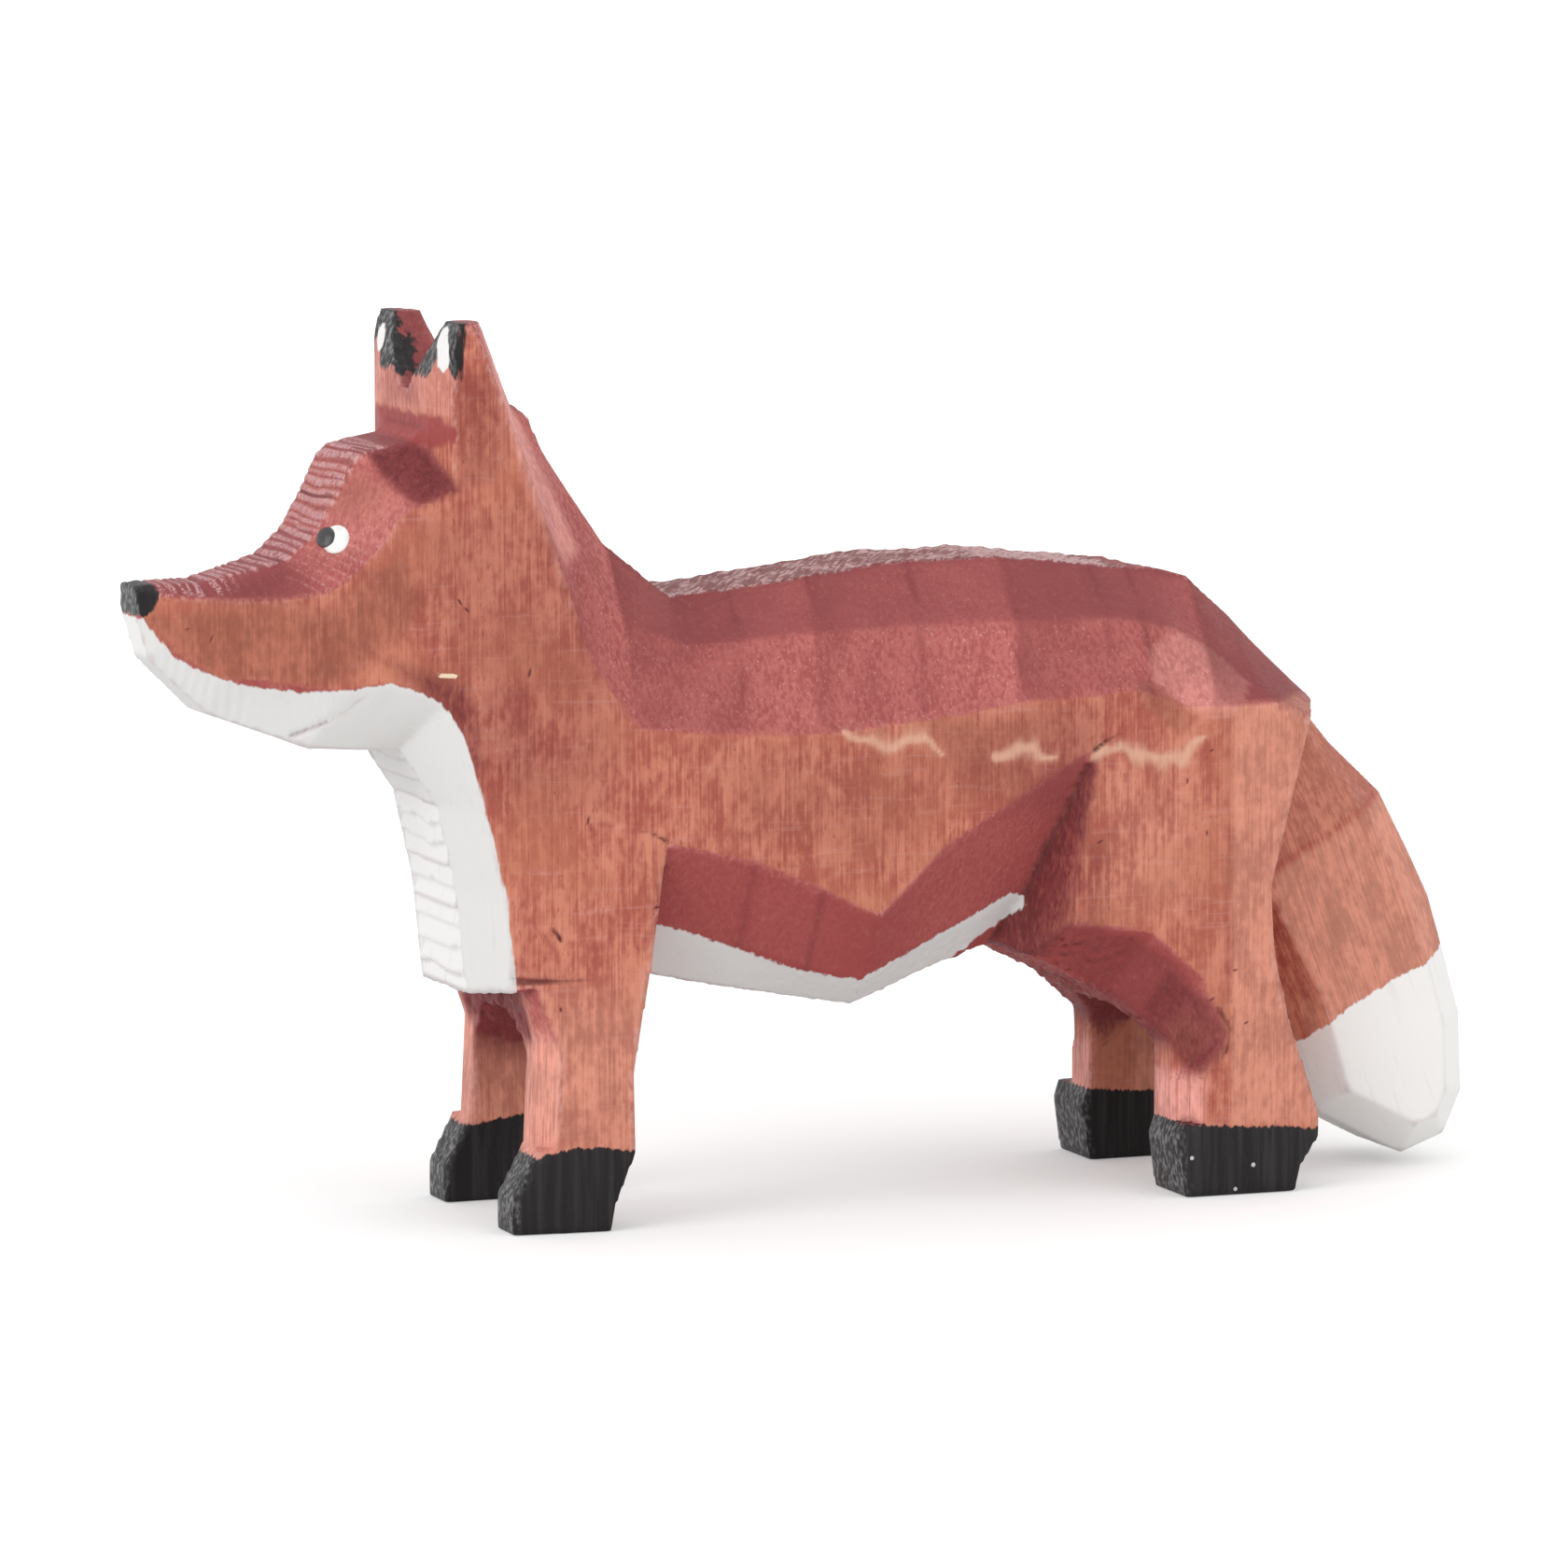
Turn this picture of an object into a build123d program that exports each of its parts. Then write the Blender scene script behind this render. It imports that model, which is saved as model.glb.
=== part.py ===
from build123d import *
import os

# Carved wooden fox: a body sawn from one board and cut with a knife, and a tail glued on with a dowel.
# Millimetres. The nose points to -X, the soles stand on z = 0, and y = 0 is the middle of the board.

# Ends of the figure: the front of the nose, the back of the tail and the tips of the ears.
nose_front = -40.0
tail_rear = 40.0
ear_height = 50.9

# Side outline of the body as (x, z) points, from the nose over the back to the tail seat.
nose_top = (nose_front, 36.5)
muzzle_top = (-36.3, 36.6)
muzzle_root = (-33.9, 37.2)
stop_low = (-31.9, 37.7)
stop_mid = (-30.25, 39.1)
brow_low = (-29.1, 41.05)
brow_high = (-28.1, 43.0)
crown_front = (-27.4, 43.7)
crown_rear = (-24.5, 44.2)
ear_front_low = (-23.9, 44.9)
ear_front_high = (-24.0, 47.6)
ear_tip_front = (-23.0, ear_height)
ear_tip_rear = (-20.25, ear_height)
ear_rear_low = (-19.5, 46.2)
nape_front = (-18.5, 46.0)
nape_top = (-17.5, 45.3)
nape_high = (-16.6, 43.2)
nape_mid = (-15.1, 40.9)
nape_low = (-13.1, 38.0)
withers = (-9.3, 35.0)
back_front = (-2.1, 35.8)
back_middle = (3.5, 36.5)
back_high = (10.1, 36.65)
back_rear = (16.5, 35.95)
croup_front = (19.6, 35.6)
croup_rear = (22.2, 35.0)
rump_high = (24.9, 32.7)
rump_low = (26.8, 30.4)
seat_top = (29.0, 27.9)
seat_bottom = (26.0, 14.6)

# The same outline on the way back: under the tail, along the legs and the belly, and up to the chin.
under_seat = (25.4, 13.2)
hock = (26.1, 10.0)
hind_heel_top = (28.0, 4.4)
hind_heel = (28.0, 3.1)
hind_pad = (26.9, 1.5)
hind_sole_rear = (26.5, 0.0)
hind_sole_front = (19.8, 0.0)
hind_toe = (19.3, 3.2)
hind_ankle = (19.7, 4.2)
hind_shin = (19.7, 8.8)
groin_low = (16.5, 11.5)
groin_high = (10.1, 14.6)
belly_rear = (6.3, 13.4)
belly_low = (1.3, 11.4)
belly_front = (-6.2, 12.8)
elbow = (-12.4, 14.1)
fore_shank = (-13.3, 8.9)
fore_heel_top = (-13.2, 4.4)
fore_heel = (-14.3, 1.6)
fore_sole_rear = (-14.6, 0.0)
fore_sole_front = (-20.2, 0.0)
fore_toe = (-20.2, 2.0)
fore_ankle = (-18.7, 4.8)
fore_shin = (-18.4, 10.6)
chest_rear = (-19.3, 13.8)
chest_front = (-21.8, 13.2)
bib_mid = (-22.4, 19.0)
bib_high = (-23.5, 23.9)
throat = (-25.6, 27.1)
throat_front = (-28.2, 27.2)
jaw_rear = (-30.9, 27.4)
jaw_mid = (-36.1, 29.3)
chin = (-39.3, 32.4)
nose_bottom = (nose_front, 34.9)

# Half widths of the board after its sides were tapered, as (x, y) points from the nose to the heels.
nose_half = (nose_front, 1.6)
muzzle_half = (-33.0, 4.3)
cheek_half = (-27.0, 6.2)
neck_half = (-20.5, 7.3)
shoulder_half = (-12.5, 8.1)
belly_half = (1.5, 8.5)
flank_half = (12.5, 9.1)
haunch_half = (20.0, 9.3)
heel_half = (30.0, 9.5)

# Half widths of the narrow strip left along the top of the head and the back, as (x, y) points.
brow_strip_line = [(nose_front, 1.0), (-36.3, 1.5), (-31.9, 2.6), (-28.1, 3.3), (-24.5, 3.5)]
back_strip_line = [(-23.0, 2.4), (-12.9, 2.7), (-6.0, 3.4), (19.6, 3.4), (29.3, 3.0)]

# Knife stops along the head, as (x, z of the lower edge of the eye facet), from just off the nose.
nose_run_out = 1.0
brow_stops = [
    (nose_front - nose_run_out, 36.0), (-36.3, 35.9), (-33.9, 35.8), (-31.9, 35.9), (-30.25, 36.2),
    (-29.1, 36.7), (-28.1, 37.7), (-27.4, 38.6), (-26.0, 40.8), (-24.5, 41.2),
]

# Knife stops along the nape and the back, as (x, z of the middle edge, z of the lower edge).
# The first stop lies in the air, these heights above the tips of the ears.
nape_run_out = 4.0
nape_edge_run_out = 1.2
back_stops = [
    (-22.7, ear_height + nape_run_out, ear_height + nape_edge_run_out), (-19.7, 46.6, 44.3),
    (-18.1, 41.9, 39.6), (-15.7, 37.2, 32.0), (-13.2, 33.9, 28.3), (-9.3, 32.5, 27.7), (-2.1, 32.9, 27.4),
    (3.5, 33.1, 27.9), (10.1, 33.2, 28.9), (16.5, 33.2, 29.3), (19.6, 32.5, 28.2), (22.2, 30.7, 28.3),
    (24.9, 29.7, 28.4), (30.5, 26.4, 26.2),
]
shoulder_cut = 2.1

# Knife stops along the belly, as (x, z of the middle edge, z of the upper edge, lean of the stop),
# and the cut in front of the haunch.
elbow_lean = 0.14
belly_stops = [
    (-11.3, 16.8, 21.7, elbow_lean), (-6.2, 15.4, 20.5, 0), (-2.1, 13.8, 18.7, 0),
    (1.3, 13.0, 17.0, 0), (5.0, 15.1, 20.8, 0),
]
belly_strip = 3.8
belly_cut = 2.7
haunch_cut_top = (14.2, 26.2)
haunch_cut_low = (12.6, 16.0)
haunch_cut_valley = (11.2, 17.6)
haunch_cut_depth = 3.4

# Knife stops up the bib and along the jaw, as (outline point, half width of the strip, side edge point).
# The first and last stop lie just off the wood.
bib_foot = (-21.7, 11.4)
nose_end = (nose_front - 1.5 * nose_run_out, 36.4)
nose_end_side = (nose_front - 1.4 * nose_run_out, 36.6)
bib_stops = [
    (bib_foot, 3.6, (-20.1, 11.6)),
    (chest_front, 3.6, (-20.15, 13.8)),
    (bib_mid, 3.6, (-20.65, 19.1)),
    (bib_high, 3.6, (-21.75, 23.8)),
    (throat, 3.6, (-23.9, 29.9)),
    (throat_front, 3.8, (-26.6, 31.0)),
    (jaw_rear, 3.8, (-29.5, 30.75)),
    (jaw_mid, 2.0, (-35.6, 31.4)),
    (chin, 1.4, (-38.6, 33.2)),
    (nose_bottom, 1.3, (-39.6, 35.0)),
    (nose_end, 1.2, nose_end_side),
]

# Ears: the notch between them, the bevel on their front corners and the foot of that bevel.
notch_floor_front = 47.6
notch_floor_rear = 45.4
notch_floor_half = 0.8
notch_top_half = 4.4
ear_bevel_inner = (-24.1, 3.4)
ear_bevel_outer = (-23.25, 7.4)
ear_bevel_foot_inner = 44.3
ear_bevel_foot_outer = 41.5

# Haunch: the corner taken off towards the tail seat, as (z, x of the edge), and the gouge under the
# thigh, as (deep point x, y, z; side point x, z).
rump_edge_line = [(12.6, 25.4), (14.9, 25.1), (17.7, 24.9), (22.5, 26.1), (28.6, 27.6), (32.0, 28.4)]
rump_seat_half = 5.6
thigh_stops = [
    ((11.0, 5.6, 13.4), (11.5, 16.2)),
    ((15.8, 5.4, 10.8), (17.5, 15.4)),
    ((18.6, 5.8, 8.5), (20.8, 12.6)),
    ((19.5, 6.8, 6.2), (22.4, 9.6)),
]

# Legs: the gaps between left and right, their arches, and the bevels on the front corners as (x, y).
fore_gap = 8.8
fore_arch_front = 12.8
fore_arch_rear = 9.0
hind_gap = 9.4
hind_arch = 10.4
arch_corner = 2.0
fore_bevel = (1.0, 1.4)
hind_bevel = (1.2, 2.0)
chest_bevel = (0.4, 0.8)

# Tail, as (x, z) points from the seat round the tip and back, and its knife bevels.
tail_root_top = (31.4, 25.0)
tail_bend = (34.6, 22.0)
tail_rear_high = (37.8, 15.8)
tail_rear_low = (39.8, 8.9)
tail_tip_rear = (tail_rear, 4.2)
tail_tip_corner = (38.9, 1.7)
tail_tip_low = (36.2, 0.7)
tail_tip_front = (30.5, 3.6)
tail_front = (28.6, 9.8)
tail_width = 9.6
tail_bevel = 1.8
tail_bevel_angle = 45
tail_root_width = 6.6
tail_root_reach = 1.0

# Dowel between body and tail.
dowel_diameter = 3.0
dowel_length = 9.0
dowel_in_body = 5.0
dowel_play = 0.05
dowel_end_play = 0.2

# Reach of the cutting shapes beyond the wood.
clear = 4.0

half_board = heel_half[1]
board_top = ear_height
notch_stops = [
    (ear_front_low[0] - clear, notch_floor_front),
    (ear_rear_low[0] + clear, notch_floor_rear),
]
fore_shin_stops = [(fore_ankle, fore_bevel), (fore_shin, fore_bevel), (chest_rear, chest_bevel)]
hind_shin_stops = [(hind_ankle, hind_bevel), (hind_shin, hind_bevel)]
fore_arch_stops = [
    (chest_front[0], fore_gap, fore_arch_front),
    (elbow[0] + clear, fore_gap, fore_arch_rear),
]
hind_arch_stops = [
    (groin_high[0], hind_gap, hind_arch),
    (hind_heel[0] + clear, hind_gap, hind_arch),
]

plan_line = [
    nose_half, muzzle_half, cheek_half, neck_half, shoulder_half,
    belly_half, flank_half, haunch_half, heel_half,
]

top_line = [
    nose_top, muzzle_top, muzzle_root, stop_low, stop_mid, brow_low, brow_high, crown_front, crown_rear,
    ear_front_low, ear_front_high, ear_tip_front, ear_tip_rear, ear_rear_low,
    nape_front, nape_top, nape_high, nape_mid, nape_low, withers,
    back_front, back_middle, back_high, back_rear, croup_front, croup_rear,
    rump_high, rump_low, seat_top,
]
hind_line = [
    seat_bottom, under_seat, hock, hind_heel_top, hind_heel, hind_pad, hind_sole_rear,
    hind_sole_front, hind_toe, hind_ankle, hind_shin, groin_low,
]
belly_line = [groin_high, belly_rear, belly_low, belly_front, elbow]
fore_line = [
    fore_shank, fore_heel_top, fore_heel, fore_sole_rear,
    fore_sole_front, fore_toe, fore_ankle, fore_shin, chest_rear,
]
bib_line = [chest_front, bib_mid, bib_high, throat]
jaw_line = [throat_front, jaw_rear, jaw_mid, chin, nose_bottom]

seat_along = Vector(seat_top[0] - seat_bottom[0], 0, seat_top[1] - seat_bottom[1]).normalized()
seat_out = Vector(seat_along.Z, 0, -seat_along.X)
seat_centre = Vector((seat_top[0] + seat_bottom[0]) / 2, 0, (seat_top[1] + seat_bottom[1]) / 2)
seat_plane = Plane(origin=seat_centre, x_dir=seat_along, z_dir=seat_out)
tail_line = [
    (seat_bottom[0] - seat_out.X * clear, seat_bottom[1] - seat_out.Z * clear),
    (seat_top[0] - seat_out.X * clear, seat_top[1] - seat_out.Z * clear),
    seat_top, tail_root_top, tail_bend, tail_rear_high, tail_rear_low,
    tail_tip_rear, tail_tip_corner, tail_tip_low, tail_tip_front, tail_front, seat_bottom,
]


def read_off(line, at):
    """Second value of a line of points at a first value, between the two points it falls between."""
    points = sorted(line)
    if at <= points[0][0]:
        return points[0][1]
    for (x0, v0), (x1, v1) in zip(points, points[1:]):
        if at <= x1:
            return v0 + (v1 - v0) * (at - x0) / (x1 - x0)
    return points[-1][1]


def half_width(x):
    """Half width of the tapered board at x."""
    return read_off(plan_line, x)


def shave(stops):
    """Take the waste between knife stops off the left half; a stop is a ring of (x, half width, z)."""
    rings = [[(x, -y, z) for x, y, z in stop] for stop in stops]
    loft([Face(Wire.make_polygon(ring)) for ring in rings], ruled=True, mode=Mode.SUBTRACT)


def brow_stop(x, edge_z):
    """Waste section over the eye facet, from the top strip of the head to the side of the board."""
    side = half_width(x)
    strip = read_off(brow_strip_line, x)
    high = board_top + clear
    return [
        (x, strip, read_off(top_line, x)), (x, side, edge_z),
        (x, side + clear, edge_z), (x, side + clear, high), (x, strip, high),
    ]


def ear_stop():
    """Waste section on the bevel of the ear's front corner."""
    inner_x, inner_y = ear_bevel_inner
    outer_x, outer_y = ear_bevel_outer
    far_x = outer_x + (outer_x - inner_x) / (outer_y - inner_y) * clear
    high = board_top + clear
    return [
        (inner_x, inner_y, ear_bevel_foot_inner), (outer_x, outer_y, ear_bevel_foot_outer),
        (far_x, outer_y + clear, ear_bevel_foot_outer), (far_x, outer_y + clear, high),
        (inner_x, inner_y, high),
    ]


def back_stop(x, middle_z, edge_z):
    """Waste section over the two facets from the top strip of the back to the side of the board."""
    side = half_width(x)
    strip = read_off(back_strip_line, x)
    high = board_top + 2 * clear
    return [
        (x, strip, read_off(top_line, x)), (x, side - shoulder_cut, middle_z), (x, side, edge_z),
        (x, side + clear, edge_z), (x, side + clear, high), (x, strip, high),
    ]


def belly_stop(x, middle_z, edge_z, lean):
    """Waste section under the two facets from the side of the board to the belly strip."""
    side = half_width(x)
    low = read_off(belly_line, x)
    corners = [
        (side, edge_z), (side - belly_cut, middle_z), (belly_strip, low),
        (belly_strip, low - clear), (side + clear, low - clear), (side + clear, edge_z),
    ]
    return [(x + lean * (z - edge_z), y, z) for y, z in corners]


def haunch_stop():
    """Waste section on the slanting front of the haunch, from its side down into the flank cut."""
    top_x, top_z = haunch_cut_top
    low_x, low_z = haunch_cut_low
    valley_x, valley_z = haunch_cut_valley
    side = half_width(top_x)
    lean = (top_x - low_x) / (top_z - low_z)
    slant = (top_x - lean * (top_z - valley_z) - valley_x) / haunch_cut_depth
    belly_z = read_off(belly_line, valley_x)
    corners = [
        (side, top_z), (side - haunch_cut_depth, valley_z), (belly_strip, belly_z),
        (belly_strip, belly_z - clear), (side + clear, belly_z - clear), (side + clear, top_z),
    ]
    return [(top_x + slant * (y - side) + lean * (z - top_z), y, z) for y, z in corners]


def corner_stop(outline_point, strip, side_point):
    """Waste triangle over a facet that takes off the corner between outline and side."""
    inner = Vector(outline_point[0], strip, outline_point[1])
    outer = Vector(side_point[0], half_width(side_point[0]), side_point[1])
    corner = Vector(outline_point[0], half_width(outline_point[0]), outline_point[1])
    off_wood = corner * 2 - (inner + outer) / 2
    return [tuple(inner), tuple(outer), tuple(off_wood)]


def rump_stop(z, edge_x):
    """Waste section behind the haunch, from its rear edge to the tail seat."""
    lean = (seat_top[0] - seat_bottom[0]) / (seat_top[1] - seat_bottom[1])
    seat_x = seat_bottom[0] + lean * (z - seat_bottom[1])
    side = half_width(edge_x)
    return [
        (edge_x, side, z), (seat_x, rump_seat_half, z), (seat_x + clear, rump_seat_half, z),
        (seat_x + clear, side + clear, z), (edge_x, side + clear, z),
    ]


def thigh_stop(deep, side_point):
    """Waste triangle of the gouge under the thigh."""
    side = half_width(side_point[0])
    return [deep, (side_point[0], side, side_point[1]), (deep[0], side + clear, deep[2])]


def shin_stop(outline_point, bevel):
    """Waste triangle over the bevel on the front corner of a leg."""
    x, z = outline_point
    return corner_stop(outline_point, half_width(x) - bevel[1], (x + bevel[0], z))


def notch_stop(x, floor):
    """Waste section of the notch between the ears."""
    high = board_top + clear
    return [
        (x, -clear, floor), (x, notch_floor_half, floor),
        (x, notch_top_half, board_top), (x, notch_top_half, high), (x, -clear, high),
    ]


def arch_stop(x, gap, arch):
    """Waste section between a left leg and its right neighbour."""
    return [
        (x, -clear, -clear), (x, gap / 2, -clear), (x, gap / 2, arch - arch_corner),
        (x, gap / 2 - arch_corner, arch), (x, -clear, arch),
    ]


def tail_root_stops():
    """Waste triangles over the facet that thins the root of the tail towards its top edge."""
    full = tail_width / 2
    thin = tail_root_width / 2
    top_x, top_z = seat_top
    bend_x, bend_z = tail_bend
    low_x = seat_bottom[0]
    mid_z = seat_centre.Z
    return [
        [
            (low_x - tail_root_reach, full, mid_z - tail_bevel),
            (top_x - tail_root_reach, thin, top_z + tail_root_reach),
            (low_x - tail_root_reach, full + clear, top_z + clear),
        ],
        [
            (bend_x, full, bend_z - tail_bevel),
            (bend_x + tail_root_reach, full - tail_root_reach / 2, bend_z + tail_root_reach),
            (bend_x, full + clear, bend_z + clear),
        ],
    ]


with BuildPart() as half:
    with BuildSketch(Plane.XZ):
        Polygon(*top_line, *hind_line, *belly_line, *fore_line, *bib_line, *jaw_line, align=None)
    extrude(amount=half_board)
    with BuildSketch(Plane.XY):
        Polygon((nose_half[0], 0), *[(x, -y) for x, y in plan_line], (heel_half[0], 0), align=None)
    extrude(amount=board_top, mode=Mode.INTERSECT)
    shave([back_stop(*stop) for stop in back_stops])
    shave([brow_stop(*stop) for stop in brow_stops] + [ear_stop()])
    shave([belly_stop(*stop) for stop in belly_stops] + [haunch_stop()])
    shave([corner_stop(*stop) for stop in bib_stops])
    shave([rump_stop(*stop) for stop in rump_edge_line])
    shave([thigh_stop(*stop) for stop in thigh_stops])
    shave([shin_stop(*stop) for stop in fore_shin_stops])
    shave([shin_stop(*stop) for stop in hind_shin_stops])
    shave([notch_stop(*stop) for stop in notch_stops])
    shave([arch_stop(*stop) for stop in fore_arch_stops])
    shave([arch_stop(*stop) for stop in hind_arch_stops])

with BuildPart() as body:
    add(half.part)
    mirror(half.part, about=Plane.XZ)
    with BuildSketch(seat_plane):
        Circle(dowel_diameter / 2 + dowel_play)
    extrude(amount=-(dowel_in_body + dowel_end_play), mode=Mode.SUBTRACT)

with BuildPart() as half_tail:
    with BuildSketch(Plane.XZ):
        Polygon(*tail_line, align=None)
    extrude(amount=tail_width / 2 - tail_bevel)
    extrude(half_tail.faces().sort_by(Axis.Y)[0], amount=tail_bevel, taper=tail_bevel_angle)
    shave(tail_root_stops())
    split(bisect_by=seat_plane, keep=Keep.TOP)

with BuildPart() as tail:
    add(half_tail.part)
    mirror(half_tail.part, about=Plane.XZ)
    with BuildSketch(seat_plane):
        Circle(dowel_diameter / 2 + dowel_play)
    extrude(amount=dowel_length - dowel_in_body + dowel_end_play, mode=Mode.SUBTRACT)

with BuildPart() as tail_dowel:
    with BuildSketch(seat_plane.offset(-dowel_in_body)):
        Circle(dowel_diameter / 2)
    extrude(amount=dowel_length)

body.part.label = "body"
tail.part.label = "tail"
tail_dowel.part.label = "tail_dowel"

os.makedirs("parts", exist_ok=True)
export_step(body.part, "parts/body.step")
export_step(tail.part, "parts/tail.step")
export_step(tail_dowel.part, "parts/tail_dowel.step")
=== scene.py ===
"""Carved and painted fox figurine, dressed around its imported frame.

The wood's shape comes from copies of the frame's solids. Knife chatter, saw marks and torn fibres are cut
into those copies here, and each finish is made from nodes. Lengths are millimetres unless a name ends in _m.
"""

import logging
import math
from dataclasses import dataclass, field
from enum import Enum
from typing import NamedTuple, Union

import bmesh
import bpy
import numpy as np
from mathutils import Matrix, Vector, noise
from mathutils.bvhtree import BVHTree


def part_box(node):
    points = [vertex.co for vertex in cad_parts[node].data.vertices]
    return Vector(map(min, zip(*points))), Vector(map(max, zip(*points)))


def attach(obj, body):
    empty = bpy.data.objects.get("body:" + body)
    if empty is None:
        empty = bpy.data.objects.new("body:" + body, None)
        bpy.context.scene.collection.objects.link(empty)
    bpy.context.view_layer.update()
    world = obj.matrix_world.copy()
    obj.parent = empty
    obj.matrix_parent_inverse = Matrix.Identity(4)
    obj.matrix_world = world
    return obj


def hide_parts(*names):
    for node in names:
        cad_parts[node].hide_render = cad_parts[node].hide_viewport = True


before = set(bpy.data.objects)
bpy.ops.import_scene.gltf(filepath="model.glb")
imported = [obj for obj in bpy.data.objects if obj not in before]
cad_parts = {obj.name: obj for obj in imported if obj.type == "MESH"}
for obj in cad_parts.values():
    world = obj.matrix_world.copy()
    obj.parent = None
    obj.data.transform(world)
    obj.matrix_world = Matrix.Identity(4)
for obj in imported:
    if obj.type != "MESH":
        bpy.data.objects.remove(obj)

log = logging.getLogger("fox")

MM = 0.001
# Width of a step that is as good as hard
HAIR = 1e-9
# Cover of a point that no paint or mark reaches
UNPAINTED = -2.0

Point2 = tuple[float, float]
Point3 = tuple[float, float, float]
Line = tuple[Point2, ...]
Colour = tuple[float, float, float]
Socket = bpy.types.NodeSocket
Feed = Union[Socket, float, Point3]


class Side(Enum):
    """Side of the fox, as the sign of y."""

    LEFT = -1
    RIGHT = 1


class Field(Enum):
    """Values that a carved piece carries at its points for the finish to read."""

    WHITE = "white_mm"
    BLACK = "black_mm"
    BARE = "bare_mm"
    RUBBED = "rubbed"
    CUT = "cut_mm"
    ACROSS = "across_grain"
    UNDER = "underside"
    EDGE = "edge"
    FRONT = "front_face"
    SAWN = "sawn_top"
    CHATTER = "chatter"
    BROW = "brow_strip"
    BAND = "brow_band"
    DEEP = "tint_deep"
    PALE = "tint_pale"
    PINK = "tint_pink"
    BROWN = "tint_brown"


class Measure(Enum):
    """What a mask asks of a point: its place, or the way that its normal turns."""

    X = "x"
    Y = "y"
    Z = "z"
    HALF = "distance from the middle plane"
    AHEAD = "normal towards the nose"
    SIDE = "normal towards either side"
    UP = "normal towards the top"


TINTS = (Field.BROWN, Field.PINK, Field.PALE, Field.DEEP)
STAIN_FIELDS = (
    Field.ACROSS, Field.UNDER, Field.EDGE, Field.SAWN, Field.CHATTER, Field.BROW, Field.BAND, Field.FRONT,
    *TINTS,
)
X, Y, Z, HALF, AHEAD, SIDE, UP = Measure


class Step(NamedTuple):
    """Smooth step from 0 at its low end to its top at its high end, which may lie below the low one."""

    low: float
    high: float
    top: float = 1.0

    def of(self, values: np.ndarray) -> np.ndarray:
        """Height of the step at each value."""
        share = np.clip((values - self.low) / (self.high - self.low), 0.0, 1.0)
        return self.top * share * share * (3.0 - 2.0 * share)


Mask = tuple[tuple[Measure, Step], ...]


def over(limit: float) -> Step:
    """Hard step to 1 over a limit."""
    return Step(limit, limit + HAIR)


def below(limit: float) -> Step:
    """Hard step to 1 below a limit."""
    return Step(limit, limit - HAIR)


def inside(mask: Mask, points: np.ndarray, normals: np.ndarray) -> np.ndarray:
    """Find how far points lie in a mask.

    Args:
        mask: The steps that each measure has to pass.
        points: One row for each point.
        normals: Their normals.

    Returns:
        The product of the steps at each point.
    """
    (x, y, z), (ahead, out, up) = points.T, normals.T
    values = {X: x, Y: y, Z: z, HALF: np.abs(y), AHEAD: -ahead, SIDE: np.abs(out), UP: up}
    return np.prod([step.of(values[measure]) for measure, step in mask], axis=0)


@dataclass(frozen=True)
class Noise:
    """Cloudy noise: cycles for each millimetre along each axis, octaves, and the step that masks by it."""

    scale: Point3
    octaves: float = 3.0
    step: Step = Step(0.0, 1.0)


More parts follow.
